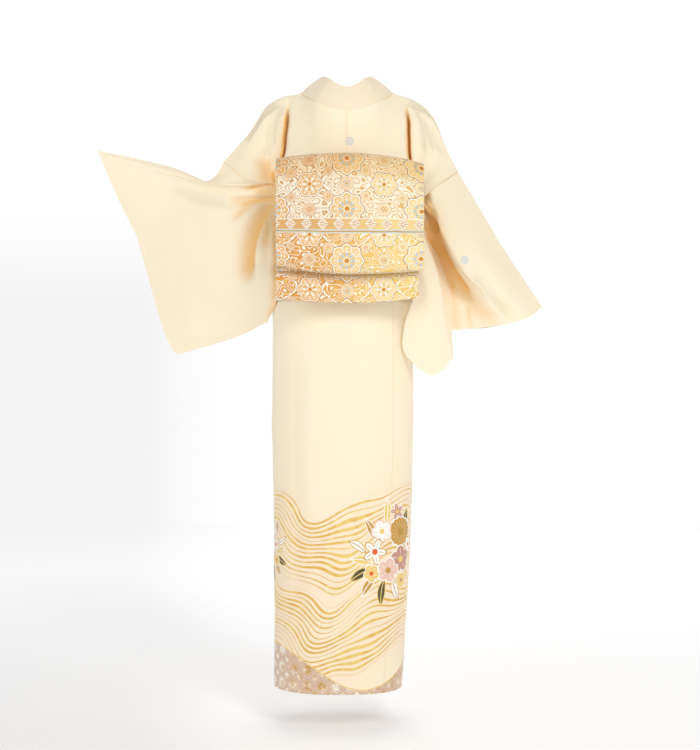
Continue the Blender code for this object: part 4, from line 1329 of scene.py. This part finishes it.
def waist_band(name, levels, inner, thickness, uv=None):
    """A closed band round the waist, with its inner side so far off the body."""
    angles = [360 * k / BAND_STEPS for k in range(BAND_STEPS + 1)]
    rows = [[ring_point(level, angle, inner + thickness) for angle in angles] for level in levels]
    grid = finer_rows(as_grid(rows), 4)
    uneven(grid, away_from_wearer(grid), 0.0004, 0.05, 9)
    grid[:, -1] = grid[:, 0]
    return cloth(name, [(grid, False)], thickness, uv)


lay_on(
    waist_band("silk_waist_fold", (-0.330, -0.365, -0.400, -0.425), 0.0066, 0.0040),
    "waist_fold", "silk_fold", plain_silk("waist fold silk"),
    flat=(0.86, 0.095), held="folded", rests_on=["silk_body_left", "silk_body_right"],
)


# Belt. It is a double-width silk brocade with gold thread, 31 cm wide, folded in half where it
# goes twice round the waist.

BROCADE = 0.0030
STRIPE_RUN = 0.303  # metres of cloth from the drum's hidden upper edge to its striped band
STRIPE_WIDTH = 0.022
ORANGE = (0.66, 0.25, 0.025)
BROWN = (0.48, 0.22, 0.06)
YELLOW = (0.88, 0.58, 0.12)
BEIGE = (0.78, 0.57, 0.33)
PALE = (0.95, 0.86, 0.68)
STEEL = (0.47, 0.51, 0.50)
WHITE = (0.98, 0.95, 0.87)


PITCH = (0.150, 0.104)  # of the woven figures, across and down the cloth


def wheel(dye, colour, where, shift, reach, petals, side, inside, petal):
    """Woven medallions on a grid: a scalloped rim, a ring of beads, a ring of petals and a heart.
    Gives back the colour with them laid over it, and where their rims stand proud."""
    a, b = dye.cells(*dye.axes(where)[:2], PITCH, shift)
    away, angle = dye.polar(dye.times(a, PITCH[0] / reach), dye.times(b, PITCH[1] / reach))
    turn = dye.scaled(dye.math("COSINE", dye.times(angle, petals)), 0.5, 0.5)
    beads = dye.scaled(dye.math("COSINE", dye.times(angle, petals * 2)), 0.5, 0.5)
    edge = dye.minus(dye.scaled(turn, 0.14, 0.86), away)
    for start, tone in ((-0.045, BROWN), (0.0, WHITE), (0.075, inside)):
        colour = dye.mix(dye.step(edge, start, 0.008), colour, tone)
    for middle, width, round_it, fill, outline in (
        (0.70, 0.13, beads, dye.mix(side, ORANGE, YELLOW), WHITE),
        (0.37, 0.19, turn, WHITE, BROWN),
    ):
        from_ring = dye.math("DIVIDE", dye.minus(away, middle), width)
        lobe = dye.minus(round_it, dye.times(from_ring, from_ring))
        heart = petal if round_it is turn else PALE
        for start, tone in ((0.12, outline), (0.34, fill), (0.66, heart)):
            colour = dye.mix(dye.step(lobe, start, 0.05), colour, tone)
    colour = dye.mix(dye.within(away, 0.53, 0.565, 0.008), colour, WHITE)
    colour = dye.mix(dye.within(away, 0.165, 0.20, 0.008), colour, WHITE)
    colour = dye.mix(dye.below(away, 0.13, 0.01), colour, ORANGE)
    return colour, dye.within(edge, 0.0, 0.07, 0.01)


def scrolls(dye, where, scale, width):
    """Curling thin lines, as the level lines of a smooth unevenness."""
    level = dye.times(dye.speckle(where, scale, 0.0), 7.0)
    off = dye.size(dye.minus(dye.fraction(level), 0.5))
    return dye.below(off, width, 0.03)


def brocade(name, run, drum_shadow_from=0.0):
    """Gold-ground brocade: scrolls, two grids of medallions with roundels between, a striped band.
    Run says how far along the cloth a piece begins, and the last value where a painted shadow of the drum
    begins on it."""
    dye = Dye(name, 0.40)
    place = dye.cloth_place()
    u, v = dye.axes(place)[:2]
    # The threads never lie quite straight, so the figures wander a little
    wander = dye.times(dye.minus(dye.speckle(place, 28.0, 1.0), 0.5), 0.0030)
    where = dye.vector(dye.sum(u, wander), dye.sum(v, wander, run), 0.0)
    down = dye.axes(where)[1]
    side = dye.step(dye.sum(u, dye.times(dye.speckle(place, 9.0, 1.0), 0.12)), 0.06, 0.10)
    low = dye.sum(down, STRIPE_RUN)
    above = dye.step(low, 0.0, 0.0005)
    # Above the band the ground is quiet beige, below it a dense orange or yellow gold
    fleck = dye.step(dye.speckle(where, 420.0, 1.0), 0.52, 0.03)
    pale = dye.mix(side, (0.98, 0.92, 0.80), (0.99, 0.95, 0.79))
    quiet = dye.mix(dye.scaled(fleck, 0.3, 0.7), BEIGE, pale)
    gold = dye.mix(side, ORANGE, YELLOW)
    dense = dye.mix(fleck, gold, dye.mix(side, (0.84, 0.42, 0.09), (0.96, 0.74, 0.30)))
    colour = dye.mix(above, dense, quiet)
    curls = scrolls(dye, where, 50.0, 0.125)
    thread = dye.mix(above, WHITE, dye.mix(side, (0.62, 0.28, 0.05), (0.80, 0.46, 0.10)))
    colour = dye.mix(curls, colour, thread)
    curls = scrolls(dye, dye.vector(down, u, 0.3), 84.0, 0.055)
    colour = dye.mix(curls, colour, dye.mix(above, YELLOW, (0.90, 0.66, 0.30)))
    # A curved trellis in a double line joins the medallions
    net = dye.sum(dye.wave(u, PITCH[0], -math.pi / 2), dye.wave(down, PITCH[1], -math.pi / 2 - 0.12))
    colour = dye.mix(dye.within(net, -0.62, -0.48, 0.02), colour, WHITE)
    colour = dye.mix(dye.within(net, -0.42, -0.30, 0.02), colour, dye.mix(side, ORANGE, YELLOW))
    raised = 0.0
    inside = dye.mix(side, (0.84, 0.45, 0.10), (0.94, 0.72, 0.26))
    for shift, reach, petals, petal in (
        ((0.50, 0.02), 0.035, 8, STEEL), ((0.00, 0.52), 0.027, 6, PALE),
        ((0.00, 0.02), 0.0140, 6, ORANGE), ((0.50, 0.52), 0.0150, 8, STEEL),
        ((0.25, 0.27), 0.0115, 5, YELLOW), ((0.75, 0.77), 0.0115, 5, YELLOW),
        ((0.25, 0.77), 0.0100, 6, ORANGE), ((0.75, 0.27), 0.0100, 6, ORANGE),
    ):
        colour, rim = wheel(dye, colour, where, shift, reach, petals, side, inside, petal)
        raised = dye.most(raised, rim)
    # The band: small lozenges between lines of pale blue and gold
    band = dye.within(low, 0.0, STRIPE_WIDTH, 0.0004)
    a = dye.size(dye.minus(dye.fraction(dye.times(u, 31.0)), 0.5))
    b = dye.times(dye.size(dye.minus(low, 0.0115)), 36.0)
    lozenge = dye.minus(dye.sum(dye.times(a, 1.3), b), dye.times(dye.wave(u, 1 / 248), 0.04))
    woven = dye.mix(side, (0.74, 0.42, 0.15), (0.90, 0.68, 0.30))
    for reach, tone in ((0.44, WHITE), (0.36, BROWN), (0.32, PALE), (0.20, ORANGE), (0.11, WHITE)):
        woven = dye.mix(dye.under(lozenge, reach), woven, tone)
    colour = dye.mix(band, colour, woven)
    for start, stop, tone in (
        (-0.0080, -0.0055, (0.66, 0.72, 0.68)), (-0.0055, -0.0028, (0.58, 0.33, 0.05)),
        (-0.0028, 0.0, (0.66, 0.72, 0.68)), (0.0215, 0.0230, WHITE),
    ):
        colour = dye.mix(dye.within(low, start, stop, 0.0003), colour, tone)
    # Painted shade: the bend over the top of the pad is darkened, as less light falls there
    bend = dye.within(down, -0.190, -0.100, 0.020)
    colour = dye.mix(bend, colour, (0.93, 0.80, 0.61), "MULTIPLY")
    # Painted shadow: the drum keeps light off the upper part of the pieces inside it, so they are darkened
    # there
    if drum_shadow_from:
        colour = dye.mix(dye.times(dye.step(v, drum_shadow_from, 0.005), 0.65), colour, (0.42, 0.22, 0.06))
    dye.put(dye.shader.inputs["Base Color"], colour)
    # Weft ribs 0.9 mm apart, crossed by finer warp, with the figures standing a little proud
    rib = dye.times(dye.wave(v, 0.0009), 0.3)
    warp = dye.times(dye.wave(u, 0.0006), 0.15)
    dye.relief(dye.sum(rib, warp, dye.times(raised, 1.4), dye.times(fleck, 0.4)), 0.00022)
    dye.shader.inputs["Metallic"].default_value = 0.14
    dye.shader.inputs["Sheen Weight"].default_value = 0.15
    return dye.material


belt_band = waist_band(
    "brocade_band", (-0.215, -0.265, -0.315, -0.365), 0.0112, BROCADE,
    lambda points: round_the_body(points, 180),  # the pattern begins and ends under the drum
)
lay_on(
    belt_band, "obi_wrap", "brocade_wrap", brocade("brocade, waist", -0.45),
    flat=(0.88, 0.15), held="stretched", rests_on=["silk_waist_fold", "silk_body_left"],
)


# Drum. At the back the full width of the brocade goes up over a small pad, falls in a square drum
# and is tucked back up inside it; both sides are open.

DRUM_WIDTH = 0.298
DRUM_CENTRE = 0.006
# How far the left and the right end lift along the lower edge, and how far they droop along the top
DRUM_DROP = ((0.017, 0.007), (0.011, 0.023))
Bend = namedtuple("Bend", "back level end_drop")
DRUM = (
    Bend(-0.1203, -0.235, 0.0),
    Bend(-0.1215, -0.200, 0.3),
    Bend(-0.1250, -0.176, 0.6),
    Bend(-0.1340, -0.152, 1.0),
    Bend(-0.1520, -0.138, 1.0),
    Bend(-0.1730, -0.133, 1.0),
    Bend(-0.1900, -0.139, 1.0),
    Bend(-0.1980, -0.156, 0.9),
    Bend(-0.2020, -0.200, 0.5),
    Bend(-0.2040, -0.260, 0.2),
    Bend(-0.2020, -0.320, -0.3),
    Bend(-0.1970, -0.360, -0.8),
    Bend(-0.1900, -0.376, -1.0),
    Bend(-0.1800, -0.380, -1.0),
    Bend(-0.1710, -0.374, -1.0),
    Bend(-0.1665, -0.355, -0.8),
    Bend(-0.1650, -0.310, 0.0),
    Bend(-0.1650, -0.250, 0.0),
)


FLAT_DOWN, FLAT_ACROSS = 6, 8  # faces to each row and column of a flat piece's points
FLAT_PLACES = [k / 4 - 1 for k in range(9)]  # from the left edge, -1, to the right one


def flat_piece(name, rows, uneven_by):
    """A stretch of brocade facing backwards, with cloth places across and down it."""
    grid = finer(rows, FLAT_DOWN, FLAT_ACROSS)
    uneven(grid, grid_normals(grid, False), uneven_by, 0.05, 11)
    run = np.cumsum(np.linalg.norm(np.diff(grid[:, grid.shape[1] // 2], axis=0), axis=1))
    run = np.concatenate([[0.0], run])
    places = {}
    for i in range(grid.shape[0]):
        for j in range(grid.shape[1]):
            places[tuple(np.round(grid[i, j] * WELD).astype(int))] = (grid[i, j, 0], -run[i])
    return cloth(
        name, [(grid, False)], BROCADE,
        lambda points: np.array([places[tuple(np.round(p * WELD).astype(int))] for p in points]),
    )


drum_rows = []
for back, level, drop in DRUM:
    row = []
    for across in FLAT_PLACES:
        reach = DRUM_DROP[drop > 0][across > 0]
        curl = 0.004 * across * across if back < -0.175 else 0.0
        x = DRUM_CENTRE + across * DRUM_WIDTH / 2
        row.append(Vector((x, back + curl, level - reach * across * across * drop)))
    drum_rows.append(row)
drum = flat_piece("brocade_drum", drum_rows, 0.0010)
lay_on(
    drum, "obi_drum", "brocade_drum", brocade("brocade, drum", 0.0),
    flat=(0.298, 0.53), held="folded", rests_on=["brocade_band"],
)


# Tail and hand end. The end that was wrapped first goes through the drum from side to side; the
# tail hangs below the drum by a few fingers' width.

def flat_end(name, node, width, centre, back, high, low, sag, run, drum_shadow_from):
    """A flat stretch between two levels. Its lower edge sags, so its corners stand that much higher."""
    rows = []
    for i in range(5):
        share = i / 4
        level = high + (low - high) * share
        rows.append([
            Vector((centre + across * width / 2, back, level + sag * across * across * share))
            for across in FLAT_PLACES
        ])
    piece = flat_piece(name, rows, 0.0003)
    lay_on(
        piece, node, name, brocade(name.replace("_", " "), run, drum_shadow_from),
        flat=(width, high - low), held="folded", rests_on=["brocade_drum"],
    )


flat_end("brocade_hand", "obi_hand", 0.297, 0.0025, -0.1644, -0.260, -0.372, 0.0, -0.36, -0.02)
flat_end("brocade_tail", "obi_tail", 0.291, 0.0010, -0.1608, -0.235, -0.437, 0.0105, -0.345, -0.149)


# Room. A pale floor before a pale wall, a big soft lamp on the left, weaker fill from
# the right and from above, and the camera at the photograph's height and distance.

FLOOR_LEVEL = -1.325
bpy.ops.mesh.primitive_plane_add(size=1, location=(0, 0, FLOOR_LEVEL))
floor = bpy.context.object
floor.name = "floor"
floor.scale = (9, 9, 1)
bpy.ops.object.transform_apply(location=True, rotation=True, scale=True)
paper = Dye("white paper", 0.8)
paper.shader.inputs["Base Color"].default_value = (0.93, 0.925, 0.93, 1.0)
across, away = paper.axes(paper.place())[:2]
# Painted light: the floor glows, more strongly far off, so it reads white up to the wall
floor_glow = paper.scaled(paper.step(away, 1.2, 1.5), 0.26, 0.30)
# The painted glow falls off towards the left, as the light does on the wall
fan = paper.math("DIVIDE", paper.times(across, -1.0), paper.sum(away, 3.07))
floor_glow = paper.minus(floor_glow, paper.times(paper.step(fan, 0.11, 0.05), 0.10))
paper.put(paper.shader.inputs["Emission Color"], paper.vector(floor_glow, floor_glow, floor_glow))
paper.shader.inputs["Emission Strength"].default_value = 1.0
floor.data.materials.append(paper.material)

# The lamps behind and beside the object light the wall all round at eye level more than the ceiling,
# and the right of the wall a little more than the left
world = bpy.data.worlds.new("studio")
bpy.context.scene.world = world
world.use_nodes = True
wall = Brush(world.node_tree)
x, y, z = wall.axes(wall.tree.nodes.new("ShaderNodeTexCoord").outputs["Generated"])
glow = wall.scaled(wall.step(wall.size(z), 0.38, 0.12), -0.73, 1.03)
dim = wall.times(wall.step(wall.times(x, -1.0), 0.11, 0.04), wall.below(z, 0.10, 0.05))
glow = wall.minus(glow, wall.times(dim, 0.13))
wall.put(wall.tree.nodes["Background"].inputs["Strength"], glow)
wall.tree.nodes["Background"].inputs["Color"].default_value = (1.0, 1.0, 1.0, 1.0)
bpy.context.scene.view_settings.view_transform = "Standard"


def lamp(name, place, target, size, power, colour=(1.0, 1.0, 1.0)):
    data = bpy.data.lights.new(name, "AREA")
    data.energy = power
    data.size = size
    data.color = colour
    item = bpy.data.objects.new(name, data)
    item.location = place
    item.rotation_euler = (Vector(target) - Vector(place)).to_track_quat("-Z", "Y").to_euler()
    bpy.context.scene.collection.objects.link(item)


lamp("key", (1.2, -3.4, 1.5), (0, 0, -0.5), 1.1, 48, (1.0, 0.985, 0.96))
lamp("fill", (-2.6, -2.4, 0.2), (0, 0, -0.6), 2.0, 14)
lamp("top", (0.2, 1.2, 2.4), (0, 0, -0.5), 2.0, 20)

camera = bpy.data.cameras.new("camera")
camera.sensor_fit = "VERTICAL"
camera.sensor_height = 36
camera.lens = 68.64
camera.shift_y = 0.02
eye = bpy.data.objects.new("camera", camera)
eye.location = (0.0064, -3.07, -0.614)
eye.rotation_euler = (math.radians(90), 0, 0)
bpy.context.scene.collection.objects.link(eye)
bpy.context.scene.camera = eye
